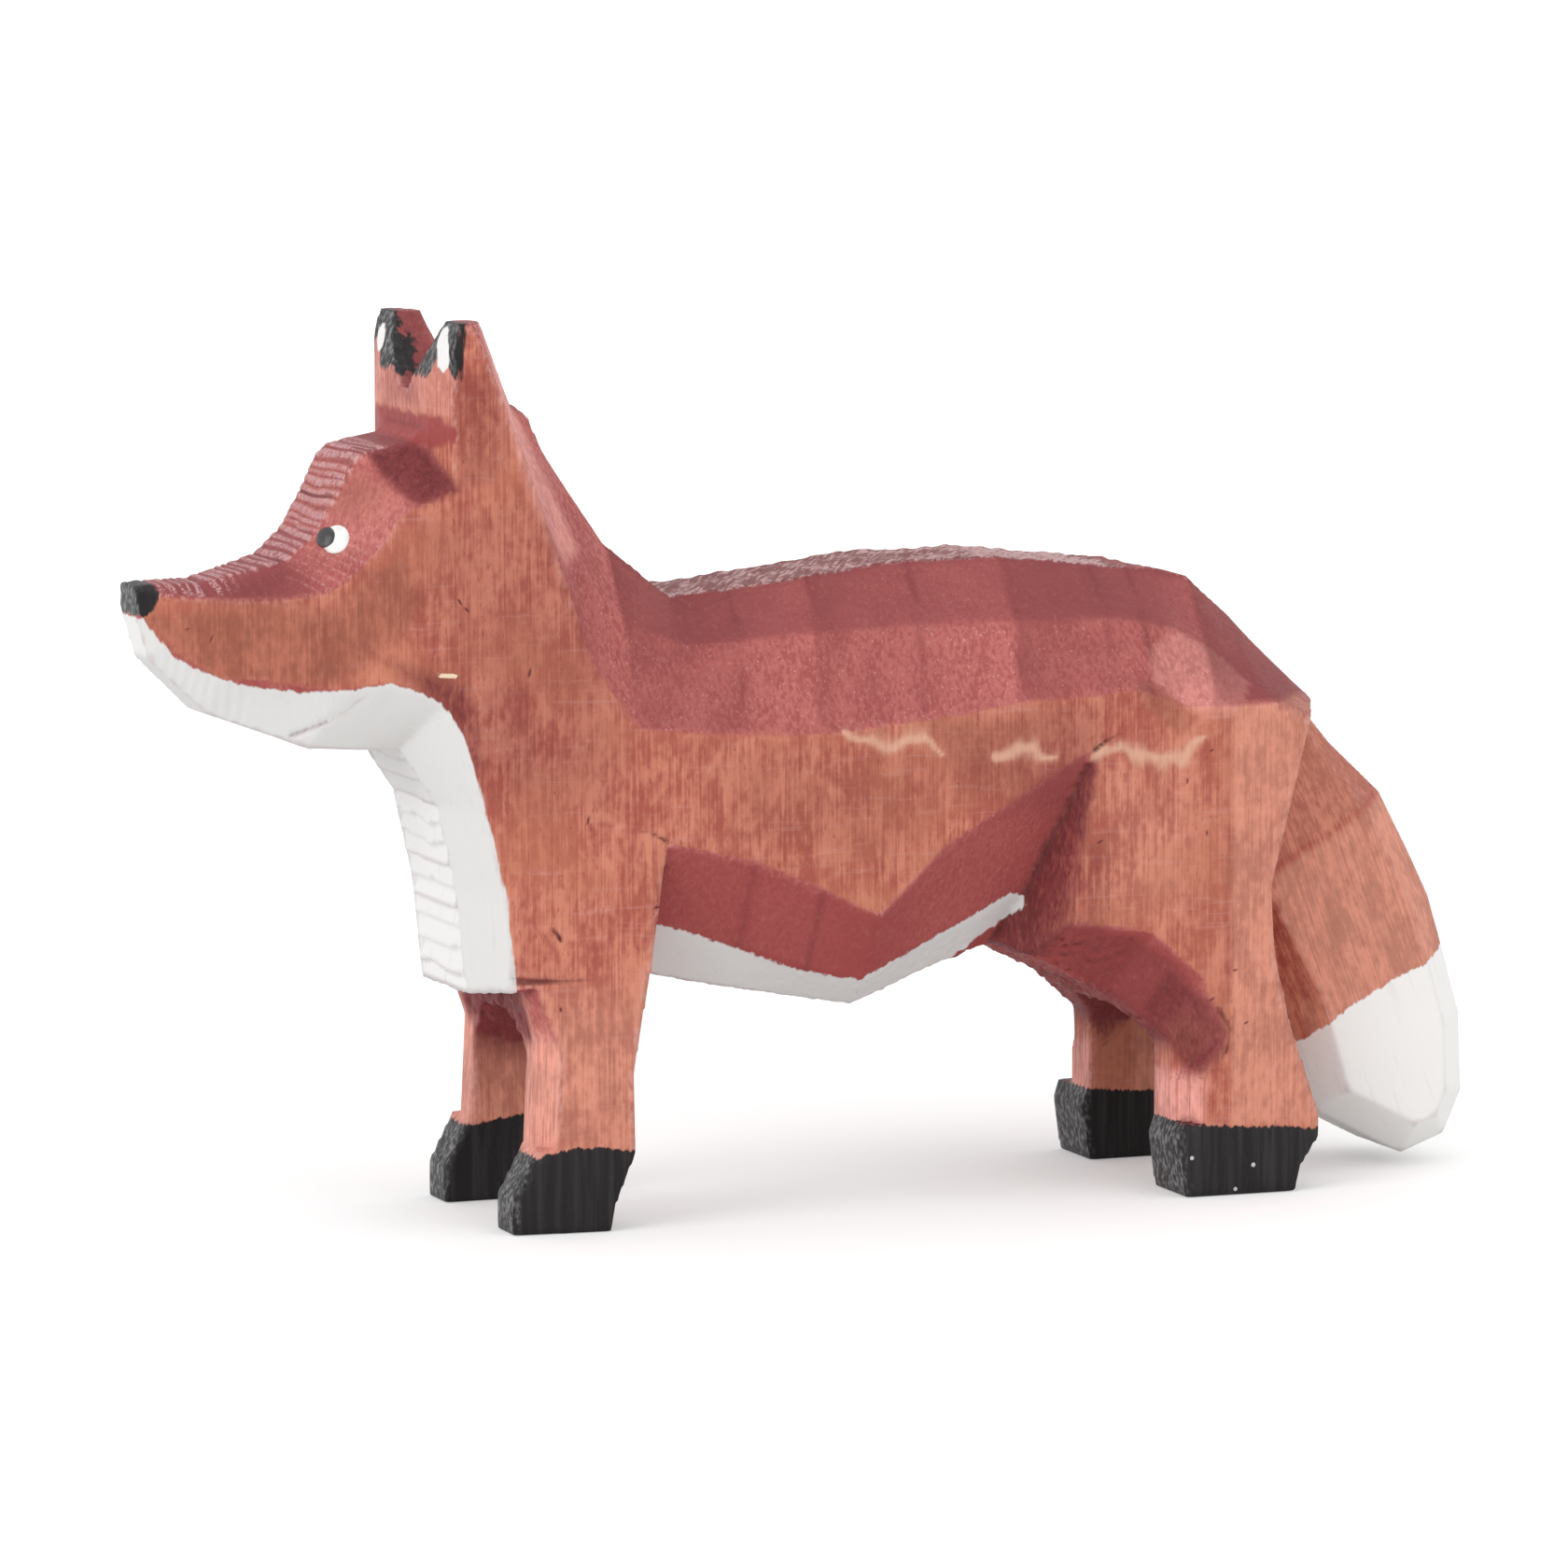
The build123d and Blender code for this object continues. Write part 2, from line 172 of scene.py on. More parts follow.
class Graph:
    """Short calls for adding and joining the nodes of one tree."""

    def __init__(self, tree: bpy.types.NodeTree) -> None:
        """Keep the tree that the calls work on."""
        self.tree = tree

    def feed(self, socket: Socket, value: Feed) -> None:
        """Give a socket a link from another socket, or a constant.

        Args:
            socket: The input to feed.
            value: An output socket, a number, a vector or a colour.
        """
        if isinstance(value, bpy.types.NodeSocket):
            self.tree.links.new(value, socket)
        elif socket.type == "RGBA":
            socket.default_value = (*value, 1.0)
        else:
            socket.default_value = value

    def node(
        self, kind: str, inputs: dict[int | str, Feed] | None = None, **settings: object,
    ) -> bpy.types.Node:
        """Add a node.

        Args:
            kind: Blender's name of the node type, without ShaderNode.
            inputs: What feeds its inputs.
            settings: Properties of the node to set.

        Returns:
            The new node.
        """
        made = self.tree.nodes.new("ShaderNode" + kind)
        for name, value in settings.items():
            setattr(made, name, value)
        for key, value in (inputs or {}).items():
            self.feed(made.inputs[key], value)
        return made

    def attribute(self, name: Field) -> Socket:
        """Read a value that the piece carries at its points."""
        return self.node("Attribute", attribute_name=name.value).outputs["Fac"]

    def object_place(self) -> Socket:
        """Object coordinates in metres."""
        return self.node("TexCoord").outputs["Object"]

    def mapped(self, vector: Socket, scale: Point3, turn: Point3 = (0.0, 0.0, 0.0)) -> Socket:
        """Coordinates stretched along each axis and then turned about each axis."""
        return self.node("Mapping", {"Vector": vector, "Scale": scale, "Rotation": turn}).outputs["Vector"]

    def place_mm(self, tilt_deg: float = 0.0) -> Socket:
        """Object coordinates in millimetres, tilted about y."""
        return self.mapped(self.object_place(), (1 / MM,) * 3, (0.0, math.radians(tilt_deg), 0.0))

    def noise(self, vector: Socket, kind: Noise) -> Socket:
        """Cloudy noise around 0.5, over coordinates in millimetres."""
        inputs = {"Vector": self.mapped(vector, kind.scale), "Scale": 1.0, "Detail": kind.octaves}
        return self.node("TexNoise", inputs).outputs["Fac"]

    def mask(self, vector: Socket, kind: Noise) -> Socket:
        """Cloudy noise as a mask, by its step."""
        return self.span(self.noise(vector, kind), kind.step)

    def span(self, value: Feed, step: Step) -> Socket:
        """Take a value over a smooth step.

        Args:
            value: The value to follow.
            step: The step.

        Returns:
            The step's height.
        """
        (low, start), (high, end) = sorted(((step.low, 0.0), (step.high, step.top)))
        inputs = {"Value": value, "From Min": low, "From Max": high, "To Min": start, "To Max": end}
        return self.node("MapRange", inputs, interpolation_type="SMOOTHSTEP").outputs["Result"]

    def math(self, operation: str, first: Feed, second: Feed = 0.0) -> Socket:
        """One step of arithmetic, by Blender's name of it."""
        return self.node("Math", {0: first, 1: second}, operation=operation).outputs["Value"]

    def times(self, first: Feed, *others: Feed) -> Socket:
        """Multiply values.

        Args:
            first: The first value.
            others: The values to multiply it by.

        Returns:
            The product.
        """
        for other in others:
            first = self.math("MULTIPLY", first, other)
        return first

    def plus(self, first: Feed, second: Feed) -> Socket:
        """Sum of two values."""
        return self.math("ADD", first, second)

    def most(self, first: Feed, second: Feed) -> Socket:
        """The larger of two values."""
        return self.math("MAXIMUM", first, second)

    def mix(self, share: Feed, first: Feed, second: Feed) -> Socket:
        """Mix two colours by a share of the second one from 0 to 1."""
        return self.node("Mix", {0: share, 6: first, 7: second}, data_type="RGBA").outputs[2]

    def blend(self, share: Feed, first: Feed, second: Feed) -> Socket:
        """Mix two plain values by a share of the second one from 0 to 1."""
        return self.node("Mix", {0: share, 2: first, 3: second}, data_type="FLOAT").outputs[0]

    def measure(self, operation: str, first: Feed, second: Feed = (0.0, 0.0, 0.0)) -> Socket:
        """Length of a vector or distance between two, by Blender's name of the step."""
        return self.node("VectorMath", {0: first, 1: second}, operation=operation).outputs["Value"]

    def shown(self) -> Socket:
        """1 for camera rays, and for the mirror and glass rays that show the background."""
        rays = self.node("LightPath").outputs
        return self.most(self.most(rays["Is Camera Ray"], rays["Is Glossy Ray"]), rays["Is Transmission Ray"])


def new_group(name: str, inputs: dict[str, str], outputs: dict[str, str]) -> tuple[Graph, dict, dict]:
    """Start a shader node group.

    Args:
        name: Name of the group.
        inputs: Input names and their kinds, such as Float.
        outputs: Output names and their kinds.

    Returns:
        The group's graph, its input sockets by name and its output sockets by name.
    """
    tree = bpy.data.node_groups.new(name, "ShaderNodeTree")
    for way, sockets in (("INPUT", inputs), ("OUTPUT", outputs)):
        for label, kind in sockets.items():
            tree.interface.new_socket(name=label, in_out=way, socket_type="NodeSocket" + kind)
    entry = tree.nodes.new("NodeGroupInput")
    leave = tree.nodes.new("NodeGroupOutput")
    sockets = [{s.name: s for s in ends if s.name} for ends in (entry.outputs, leave.inputs)]
    return Graph(tree), *sockets


def new_material(name: str) -> tuple[bpy.types.Material, Graph, dict[str, Socket]]:
    """Start a material.

    Args:
        name: Name of the material.

    Returns:
        The material, its graph and the inputs of its Principled shader.
    """
    material = bpy.data.materials.new(name)
    material.use_nodes = True
    return material, Graph(material.node_tree), material.node_tree.nodes["Principled BSDF"].inputs


def new_mesh(shape: bmesh.types.BMesh, name: str) -> bpy.types.Mesh:
    """Write a bmesh to a new mesh and free it.

    Args:
        shape: The bmesh.
        name: Name of the mesh.

    Returns:
        The mesh.
    """
    mesh = bpy.data.meshes.new(name)
    shape.to_mesh(mesh)
    shape.free()
    return mesh


def new_object(name: str, data: bpy.types.ID) -> bpy.types.Object:
    """Put an object into the scene.

    Args:
        name: Name of the object.
        data: Its mesh, lamp or camera.

    Returns:
        The object.
    """
    made = bpy.data.objects.new(name, data)
    bpy.context.scene.collection.objects.link(made)
    return made


@dataclass(frozen=True)
class StainedGrain:
    """Red-brown stain on straight-grained wood, shared by every stained piece as one node group; it also paints
    shade on faces that turn down and highlights on the brow's ridges and the sawn top.
    """

    pale_side: Colour = (0.63, 0.235, 0.155)
    red_side: Colour = (0.39, 0.094, 0.068)
    brown_side: Colour = (0.50, 0.175, 0.105)
    pale_cut: Colour = (0.51, 0.150, 0.135)
    red_cut: Colour = (0.37, 0.090, 0.085)
    deep_cut: Colour = (0.27, 0.060, 0.064)
    # Dark red of the torn undersides, deepened as painted shade on faces that turn down
    under_cut_and_shade: Colour = (0.34, 0.064, 0.062)
    sawn_dark: Colour = (0.20, 0.062, 0.060)
    # Pale of torn fibres and bare wood on the sawn top, with a painted highlight towards the rear
    sawn_pale_and_highlight: Colour = (0.52, 0.32, 0.32)
    # Pale pink of rubbed stain on worn edges and scratches; on the knife ridges it is a painted highlight
    rubbed: Colour = (0.71, 0.40, 0.37)
    # Painted highlight on the knife ridges over the brow
    band: Colour = (0.53, 0.285, 0.295)
    pore: Colour = (0.27, 0.058, 0.045)
    crease: Colour = (0.12, 0.026, 0.026)
    tints: tuple[tuple[Field, Colour], ...] = (
        (Field.BROWN, (0.36, 0.115, 0.075)), (Field.PINK, (0.84, 0.378, 0.325)),
        (Field.PALE, (0.67, 0.280, 0.198)), (Field.DEEP, (0.18, 0.034, 0.037)),
    )
    tint_fibre: Point2 = (0.4, 1.6)
    tint_contrast: Point2 = (0.78, 1.14)

    streak: Noise = Noise((6.5, 6.5, 0.22))
    mottle: Noise = Noise((2.4, 2.4, 1.3), 6.0)
    blot: Noise = Noise((0.50, 0.50, 0.30), 5.0)
    fibre: Noise = Noise((4.5, 4.5, 2.0), 6.0)
    wash: Noise = Noise((0.16, 0.16, 0.20), 4.0, Step(0.44, 0.64, 0.55))
    scratch: Noise = Noise((0.30, 0.30, 3.5), 4.0, Step(0.56, 0.72, 0.16))
    pores: Noise = Noise((9.0, 9.0, 2.0), 2.0, Step(0.66, 0.74))
    veins: Noise = Noise((3.2, 3.2, 0.04), 2.0, Step(0.66, 0.76))
    specks: Noise = Noise((7.0, 7.0, 5.0), 2.0, Step(0.62, 0.72, 0.5))
    saw: Noise = Noise((4.2, 0.55, 0.55), 4.0, Step(0.36, 0.66))
    saw_turn_deg: float = 35.0

    line_shares: Point3 = (0.30, 0.30, 0.40)
    line_step: Step = Step(0.41, 0.60)
    pore_strength: float = 0.55
    pore_depth: float = 0.3
    nap_blots: float = 0.3
    nap_step: Step = Step(0.39, 0.61)
    steep_fibre: float = 0.12
    steep_step: Step = Step(0.51, 0.91)
    ragged_mottle: float = 0.24
    ragged_step: Step = Step(0.24, 0.42)
    under_step: Step = Step(0.15, 0.6)
    thread_step: Step = Step(0.50, 0.36, 0.35)
    ridge_step: Step = Step(0.0, 0.8)
    ridge_streak: Step = Step(0.38, 0.56)
    ridge_strengths: Point2 = (0.40, 0.95)
    groove_wear: float = 0.5
    groove_step: Step = Step(0.16, 0.0, 0.85)
    rub_step: Step = Step(0.25, 0.9, 0.4)
    rub_fibre: Step = Step(0.40, 0.62)
    rub_clear: Step = Step(0.5, 0.1)
    crease_step: Step = Step(-0.2, -1.0, 0.6)
    saw_mottle: Step = Step(0.28, 0.58)
    saw_wear_and_highlight: Step = Step(1.0, 2.0)
    saw_fibre: Step = Step(0.35, 0.6)
    saw_step: Step = Step(0.05, 1.0)
    height_step: Step = Step(0.1, 0.4)
    rough_fibre: Step = Step(0.3, 0.7)
    roughness: Point2 = (0.62, 0.46)

    def build(self) -> bpy.types.NodeTree:
        """Make the node group.

        Returns:
            A group from grain coordinates and surface values to colour, height and roughness.
        """
        graph, entry, leave = new_group(
            "stained_grain",
            {"Grain": "Vector"} | {part.value: "Float" for part in STAIN_FIELDS},
            {"Color": "Color", "Height": "Float", "Roughness": "Float"},
        )
        grain = entry["Grain"]
        surface = {part: entry[part.value] for part in STAIN_FIELDS}
        across, edge, sawn = surface[Field.ACROSS], surface[Field.EDGE], surface[Field.SAWN]
        kinds = (self.streak, self.mottle, self.blot, self.fibre)
        streak, mottle, blot, fibre = (graph.noise(grain, kind) for kind in kinds)
        pores = graph.mask(grain, self.pores)

        # The flat sides, along the grain
        streaks, mottles, blots = map(graph.times, (streak, mottle, blot), self.line_shares)
        lines = graph.span(graph.plus(graph.plus(streaks, mottles), blots), self.line_step)
        side = graph.mix(lines, self.red_side, self.pale_side)
        side = graph.mix(graph.mask(grain, self.wash), side, self.brown_side)
        side = graph.mix(graph.mask(grain, self.scratch), side, self.rubbed)
        holes = graph.times(graph.most(pores, graph.mask(grain, self.veins)), self.pore_strength)
        side = graph.mix(holes, side, self.pore)

        # The knife's facets, across the grain
        nap = graph.span(graph.blend(self.nap_blots, fibre, blot), self.nap_step)
        cut = graph.mix(nap, self.red_cut, self.pale_cut)
        cut = graph.mix(graph.mask(grain, self.specks), cut, self.rubbed)
        steep = graph.plus(across, graph.times(fibre, self.steep_fibre))
        cut = graph.mix(graph.span(steep, self.steep_step), cut, self.deep_cut)
        ragged = graph.plus(across, graph.times(mottle, self.ragged_mottle))
        wood = graph.mix(graph.span(ragged, self.ragged_step), side, cut)
        # Painted shade: faces that turn down take the darker underside red
        wood = graph.mix(graph.span(surface[Field.UNDER], self.under_step), wood, self.under_cut_and_shade)

        # The tones in which the stain dried, and painted shade and painted light laid on in the same way
        for tint, colour in self.tints:
            share = graph.times(surface[tint], graph.blend(fibre, *self.tint_fibre))
            dark, pale = (tuple(part * level for part in colour) for level in self.tint_contrast)
            wood = graph.mix(share, wood, graph.mix(lines, dark, pale))
        threads = graph.times(graph.span(streak, self.thread_step), surface[Field.FRONT])
        wood = graph.mix(threads, wood, self.red_cut)

        # The blade's ridges and grooves on the head: a painted highlight on the ridges, and the deep stain in
        # the grooves
        band, brow = surface[Field.BAND], surface[Field.BROW]
        ridge = graph.times(
            graph.span(surface[Field.CHATTER], self.ridge_step), graph.span(streak, self.ridge_streak),
            graph.blend(brow, *self.ridge_strengths))
        wood = graph.mix(ridge, wood, graph.mix(brow, self.rubbed, self.band))
        nearest = graph.math("ABSOLUTE", graph.math("SUBTRACT", band, graph.math("ROUND", band)))
        worn = graph.times(graph.math("SUBTRACT", mottle, 0.5), self.groove_wear)
        groove = graph.times(graph.span(graph.plus(nearest, worn), self.groove_step), brow)
        wood = graph.mix(groove, wood, self.deep_cut)

        # Rubbed edges and dark creases
        clear = graph.span(graph.most(surface[Field.UNDER], surface[Field.DEEP]), self.rub_clear)
        rub = graph.times(graph.span(edge, self.rub_step), graph.span(fibre, self.rub_fibre), clear)
        wood = graph.mix(rub, wood, self.rubbed)
        wood = graph.mix(graph.span(edge, self.crease_step), wood, self.crease)

        # The sawn top: dark, with pale torn fibres, and paler towards the rear as bare wood and painted
        # highlight
        hatch = graph.mapped(grain, (1.0, 1.0, 1.0), (0.0, 0.0, math.radians(self.saw_turn_deg)))
        torn = graph.times(graph.mask(hatch, self.saw), graph.span(mottle, self.saw_mottle))
        bare = graph.times(graph.span(sawn, self.saw_wear_and_highlight), graph.span(fibre, self.saw_fibre))
        top = graph.mix(graph.span(graph.plus(torn, bare), self.saw_step), self.sawn_dark, self.sawn_pale_and_highlight)
        graph.feed(leave["Color"], graph.mix(graph.span(sawn, Step(0.0, 1.0)), wood, top))

        height = graph.blend(graph.span(across, self.height_step), graph.blend(0.5, streak, mottle), fibre)
        graph.feed(leave["Height"], graph.math("SUBTRACT", height, graph.times(pores, self.pore_depth)))
        graph.feed(leave["Roughness"], graph.blend(graph.span(fibre, self.rough_fibre), *self.roughness))
        return graph.tree


@dataclass(frozen=True)
class BrushCoat:
    """Brushed paint edge and brush streaks, shared by the white and the black coat as one node group."""

    edge_step: Step = Step(-0.07, 0.07)
    edge: Noise = Noise((3.0, 3.0, 0.5), 4.0)
    streak: Noise = Noise((2.6, 2.6, 0.14), 5.0)

    def build(self) -> bpy.types.NodeTree:
        """Make the node group.

        Returns:
            A group from grain coordinates and cover in millimetres to a mask and brush streaks.
        """
        graph, entry, leave = new_group(
            "brush_coat",
            {"Grain": "Vector", "Cover": "Float", "Ragged": "Float"},
            {"Mask": "Float", "Streak": "Float"},
        )
        edge = graph.math("SUBTRACT", graph.noise(entry["Grain"], self.edge), 0.5)
        shifted = graph.plus(entry["Cover"], graph.times(edge, entry["Ragged"]))
        graph.feed(leave["Mask"], graph.span(shifted, self.edge_step))
        graph.feed(leave["Streak"], graph.noise(entry["Grain"], self.streak))
        return graph.tree


@dataclass(frozen=True)
class PaintedCarving:
    """Finish of a carved piece: stain first, then the white and the black coat where its fields say."""

    name: str
    grain_tilt_deg: float = 0.0
    shine: float = 0.15
    bump_m: float = 0.00009
    bump_strength: float = 0.7

    bare: Colour = (0.76, 0.45, 0.32)
    feather: Noise = Noise((3.2, 3.2, 0.8), 4.0)
    feather_share: float = 0.9
    rubbed_step: Step = Step(0.0, 1.15, 0.75)
    chip: Colour = (0.85, 0.68, 0.48)
    chip_step: Step = Step(0.0, 0.08)
    cut: Colour = (0.13, 0.026, 0.028)
    cut_step: Step = Step(-0.05, 0.15)
    cut_strength: float = 0.75
    ticks: tuple[tuple[Point2, Point2], ...] = ()
    tick_half: float = 0.11
    tick_middle: float = -6.5
    tick_reach: float = 7.0
    tick_step: Step = Step(1.0, 0.4, 0.85)

    black: Colour = (0.017, 0.0145, 0.0155)
    black_streak: Colour = (0.033, 0.031, 0.032)
    black_step: Step = Step(0.4, 0.7)
    black_ragged: float = 0.7
    black_roughness: float = 0.42
    # Grey of worn black paint on forward faces, also a painted sheen
    black_worn_and_sheen: Colour = (0.20, 0.20, 0.205)
    # Patches of worn black paint and of painted sheen on forward faces
    worn: Noise = Noise((4.0, 4.0, 2.2), 5.0, Step(0.44, 0.66))
    fleck: Colour = (0.60, 0.59, 0.56)
    fleck_places: tuple[Point3, ...] = ()
    fleck_step: Step = Step(0.15, 0.105)

    white: Colour = (0.73, 0.72, 0.705)
    # Painted light: the white on faces that look forward is set brighter
    lit_white_front: Colour = (0.84, 0.83, 0.815)
    front_step: Step = Step(0.92, 1.0)
    # Grey white of the brush streaks, also used as painted shade on faces that turn down
    white_thin_and_shade: Colour = (0.67, 0.655, 0.645)
    thin_step: Step = Step(0.42, 0.24)
    # Painted shade: share of the grey white on faces that turn down
    white_under_shade: float = 0.8
    # Mauve where the white lies over ridges and knife cuts, and painted shade in the hollows
    white_edge_and_shade: Colour = (0.46, 0.33, 0.36)
    ridge_step: Step = Step(0.4, 1.0, 0.3)
    hollow_shade_step: Step = Step(-0.3, -1.0, 0.25)
    white_cut_strength: float = 0.4
    white_ragged: float = 0.5
    white_roughness: float = 0.6
    white_grooves: float = 0.3

    def build(self, stain: bpy.types.NodeTree, coat: bpy.types.NodeTree) -> bpy.types.Material:
        """Make the material.

        Args:
            stain: The stained grain group.
            coat: The brush coat group.

        Returns:
            The material.
        """
        material, graph, shader = new_material(self.name)
        grain = graph.place_mm(self.grain_tilt_deg)
        read = {part: graph.attribute(part) for part in Field}
        edge, front = read[Field.EDGE], read[Field.FRONT]
        fields = {part.value: read[part] for part in STAIN_FIELDS}
        wood = graph.node("Group", {"Grain": grain} | fields, node_tree=stain).outputs
        cover = {"Grain": grain, "Cover": read[Field.BLACK], "Ragged": self.black_ragged}
        black = graph.node("Group", cover, node_tree=coat).outputs
        cover = {"Grain": grain, "Cover": read[Field.WHITE], "Ragged": self.white_ragged}
        white = graph.node("Group", cover, node_tree=coat).outputs

        # Marks in the stain, with a painted shadow line among the knife cuts
        feather = graph.math("SUBTRACT", graph.noise(grain, self.feather), 0.5)
        rubbed = graph.plus(read[Field.RUBBED], graph.times(feather, self.feather_share))
        colour = graph.mix(graph.span(rubbed, self.rubbed_step), wood["Color"], self.bare)
        colour = graph.mix(graph.span(read[Field.BARE], self.chip_step), colour, self.chip)
        cut = graph.span(read[Field.CUT], self.cut_step)
        colour = graph.mix(graph.times(cut, self.cut_strength), colour, self.cut)
        for start, end in self.ticks:
            colour = graph.mix(self.tick(graph, grain, start, end), colour, self.cut)

        # The black coat, greyer on forward faces where it is worn, with a painted sheen there too
        paint = graph.mix(graph.span(black["Streak"], self.black_step), self.black, self.black_streak)
        paint = graph.mix(graph.times(graph.mask(grain, self.worn), front), paint, self.black_worn_and_sheen)
        for place in self.fleck_places:
            gap = graph.measure("DISTANCE", grain, place)
            paint = graph.mix(graph.span(gap, self.fleck_step), paint, self.fleck)
        colour = graph.mix(black["Mask"], colour, paint)

        # The white coat: painted light on forward faces, grey brush streaks, painted shade on faces that turn
        # down and in hollows, mauve lines on ridges and knife cuts
        # Painted shade on the white where faces turn down
        shade = graph.times(read[Field.UNDER], self.white_under_shade)
        thin_coat_and_shade = graph.most(graph.span(white["Streak"], self.thin_step), shade)
        paint = graph.mix(graph.span(front, self.front_step), self.white, self.lit_white_front)
        paint = graph.mix(thin_coat_and_shade, paint, self.white_thin_and_shade)
        # Mauve lines on ridges, and painted shade in the hollows
        lines = graph.most(graph.span(edge, self.ridge_step), graph.span(edge, self.hollow_shade_step))
        lines = graph.most(lines, graph.times(cut, self.white_cut_strength))
        paint = graph.mix(lines, paint, self.white_edge_and_shade)
        graph.feed(shader["Base Color"], graph.mix(white["Mask"], colour, paint))

        graph.feed(shader["Specular IOR Level"], self.shine)
        rough = graph.blend(black["Mask"], wood["Roughness"], self.black_roughness)
        graph.feed(shader["Roughness"], graph.blend(white["Mask"], rough, self.white_roughness))
        grooves = graph.times(white["Streak"], self.white_grooves)
        height = graph.blend(white["Mask"], wood["Height"], grooves)
        bump = graph.node("Bump", {"Strength": self.bump_strength, "Distance": self.bump_m, "Height": height})
        graph.feed(shader["Normal"], bump.outputs["Normal"])
        return material

    def tick(self, graph: Graph, grain: Socket, start: Point2, end: Point2) -> Socket:
        """Mask one short dark tick of the left side.

        Args:
            graph: The material's graph.
            grain: Coordinates in millimetres.
            start: One end of the tick as x and z.
            end: Its other end.

        Returns:
            The tick's strength in its middle and 0 outside it.
        """
        (x, z), (run, rise) = np.add(start, end) / 2, np.subtract(end, start)
        spot = graph.node("Mapping", {
            "Vector": grain,
            "Location": (x, self.tick_middle, z),
            "Rotation": (0.0, -math.atan2(rise, run), 0.0),
            "Scale": (math.hypot(run, rise) / 2 + self.tick_half, self.tick_reach, self.tick_half),
        }, vector_type="TEXTURE")
        return graph.span(graph.measure("LENGTH", spot.outputs["Vector"]), self.tick_step)


@dataclass(frozen=True)
class PlainFinish:
    """Finish of two tones mixed by noise, for the dabs of the eyes and for the dowel."""

    name: str
    first: Colour
    second: Colour
    tones: Noise
    roughness: float

    def build(self) -> bpy.types.Material:
        """Make the material.

        Returns:
            The material.
        """
        material, graph, shader = new_material(self.name)
        share = graph.mask(graph.place_mm(), self.tones)
        graph.feed(shader["Base Color"], graph.mix(share, self.first, self.second))
        graph.feed(shader["Roughness"], self.roughness)
        return material


DAB = Noise((2.0, 2.0, 2.0), 4.0, Step(0.4, 0.75))
DOWEL_GRAIN = Noise((0.2, 3.0, 3.0), 4.0, Step(0.35, 0.65))
EYE_WHITE = PlainFinish("eye_white", (0.82, 0.81, 0.79), (0.72, 0.71, 0.70), DAB, 0.4)
EYE_BLACK = PlainFinish("eye_black", (0.03, 0.03, 0.032), (0.07, 0.07, 0.075), DAB, 0.4)
BARE_DOWEL = PlainFinish("bare_dowel_wood", (0.55, 0.37, 0.21), (0.74, 0.56, 0.36), DOWEL_GRAIN, 0.7)


def line_distance(points: np.ndarray, line: Line) -> tuple[np.ndarray, np.ndarray]:
    """Measure from points to an open line.

    Args:
        points: One (x, z) row for each point.
        line: The line's corners.

    Returns:
        The distances, and how far along the line the nearest spots lie.
    """
    best = np.full(len(points), np.inf)
    along = np.zeros(len(points))
    walked = 0.0
    for start, end in zip(line, line[1:]):
        run = np.subtract(end, start)
        length = float(np.hypot(*run))
        share = np.clip((points - start) @ run / length**2, 0.0, 1.0)
        gap = np.hypot(*(points - start - share[:, None] * run).T)
        nearer = gap < best
        best[nearer] = gap[nearer]
        along[nearer] = walked + share[nearer] * length
        walked += length
    return best, along


def cover_of(points: np.ndarray, outline: Line) -> np.ndarray:
    """Measure how far points lie inside a closed outline.

    Args:
        points: One (x, z) row for each point.
        outline: The outline's corners.

    Returns:
        The distances to the outline, below 0 outside it.
    """
    x, z = points.T
    within = np.zeros(len(points), bool)
    closed = (*outline, outline[0])
    for (x0, z0), (x1, z1) in zip(closed, closed[1:]):
        crosses = (z0 > z) != (z1 > z)
        rise = z1 - z0 if z1 != z0 else 1.0
        within ^= crosses & (x < (x1 - x0) * (z - z0) / rise + x0)
    gap, _ = line_distance(points, closed)
    return np.where(within, gap, -gap)


def rod_cover(points: np.ndarray, start: Point3, end: Point3, radius: float) -> np.ndarray:
    """Measure how far points lie inside a round-ended rod.

    Args:
        points: One row for each point.
        start: One end of the rod's middle line.
        end: Its other end.
        radius: The rod's radius.

    Returns:
        The depths, below 0 outside the rod.
    """
    run = np.subtract(end, start)
    share = np.clip((points - start) @ run / (run @ run), 0.0, 1.0)
    return radius - np.linalg.norm(points - start - share[:, None] * run, axis=1)


@dataclass(frozen=True)
class Cloud:
    """Even noise from about -1 to 1: cycles for each millimetre along each axis, and a shift of its start."""

    scale: Point3
    shift: float = 0.0

    def at(self, points: np.ndarray) -> np.ndarray:
        """Noise at each point."""
        return np.array([noise.noise(Vector(p)) for p in points * self.scale + self.shift])


def bell(values: np.ndarray) -> np.ndarray:
    """Bell curve, 1 at 0 and falling to about a third at 1."""
    return np.exp(-(values**2))


def read_points(mesh: bpy.types.Mesh, name: str) -> np.ndarray:
    """Read a vector of each of a mesh's points.

    Args:
        mesh: The mesh.
        name: Blender's name of the value, such as co.

    Returns:
        One row for each point.
    """
    flat = np.zeros(len(mesh.vertices) * 3, np.float32)
    mesh.vertices.foreach_get(name, flat)
    return flat.reshape(-1, 3).astype(float)


@dataclass(frozen=True)
class Patch:
    """A patch of another tone, as an (x, z) outline that both sides share: mostly a tone in which the stain
    dried, some painted light.
    """

    tint: Field
    amount: float
    outline: Line
    fade: float = 0.5


@dataclass(frozen=True)
class Cut:
    """A dark line along an (x, z) line, widest at its start, on both sides or on the left one alone: mostly
    knife cuts, one a painted shadow line.
    """

    line: Line
    half: float
    taper: float = 0.02
    left_only: bool = False


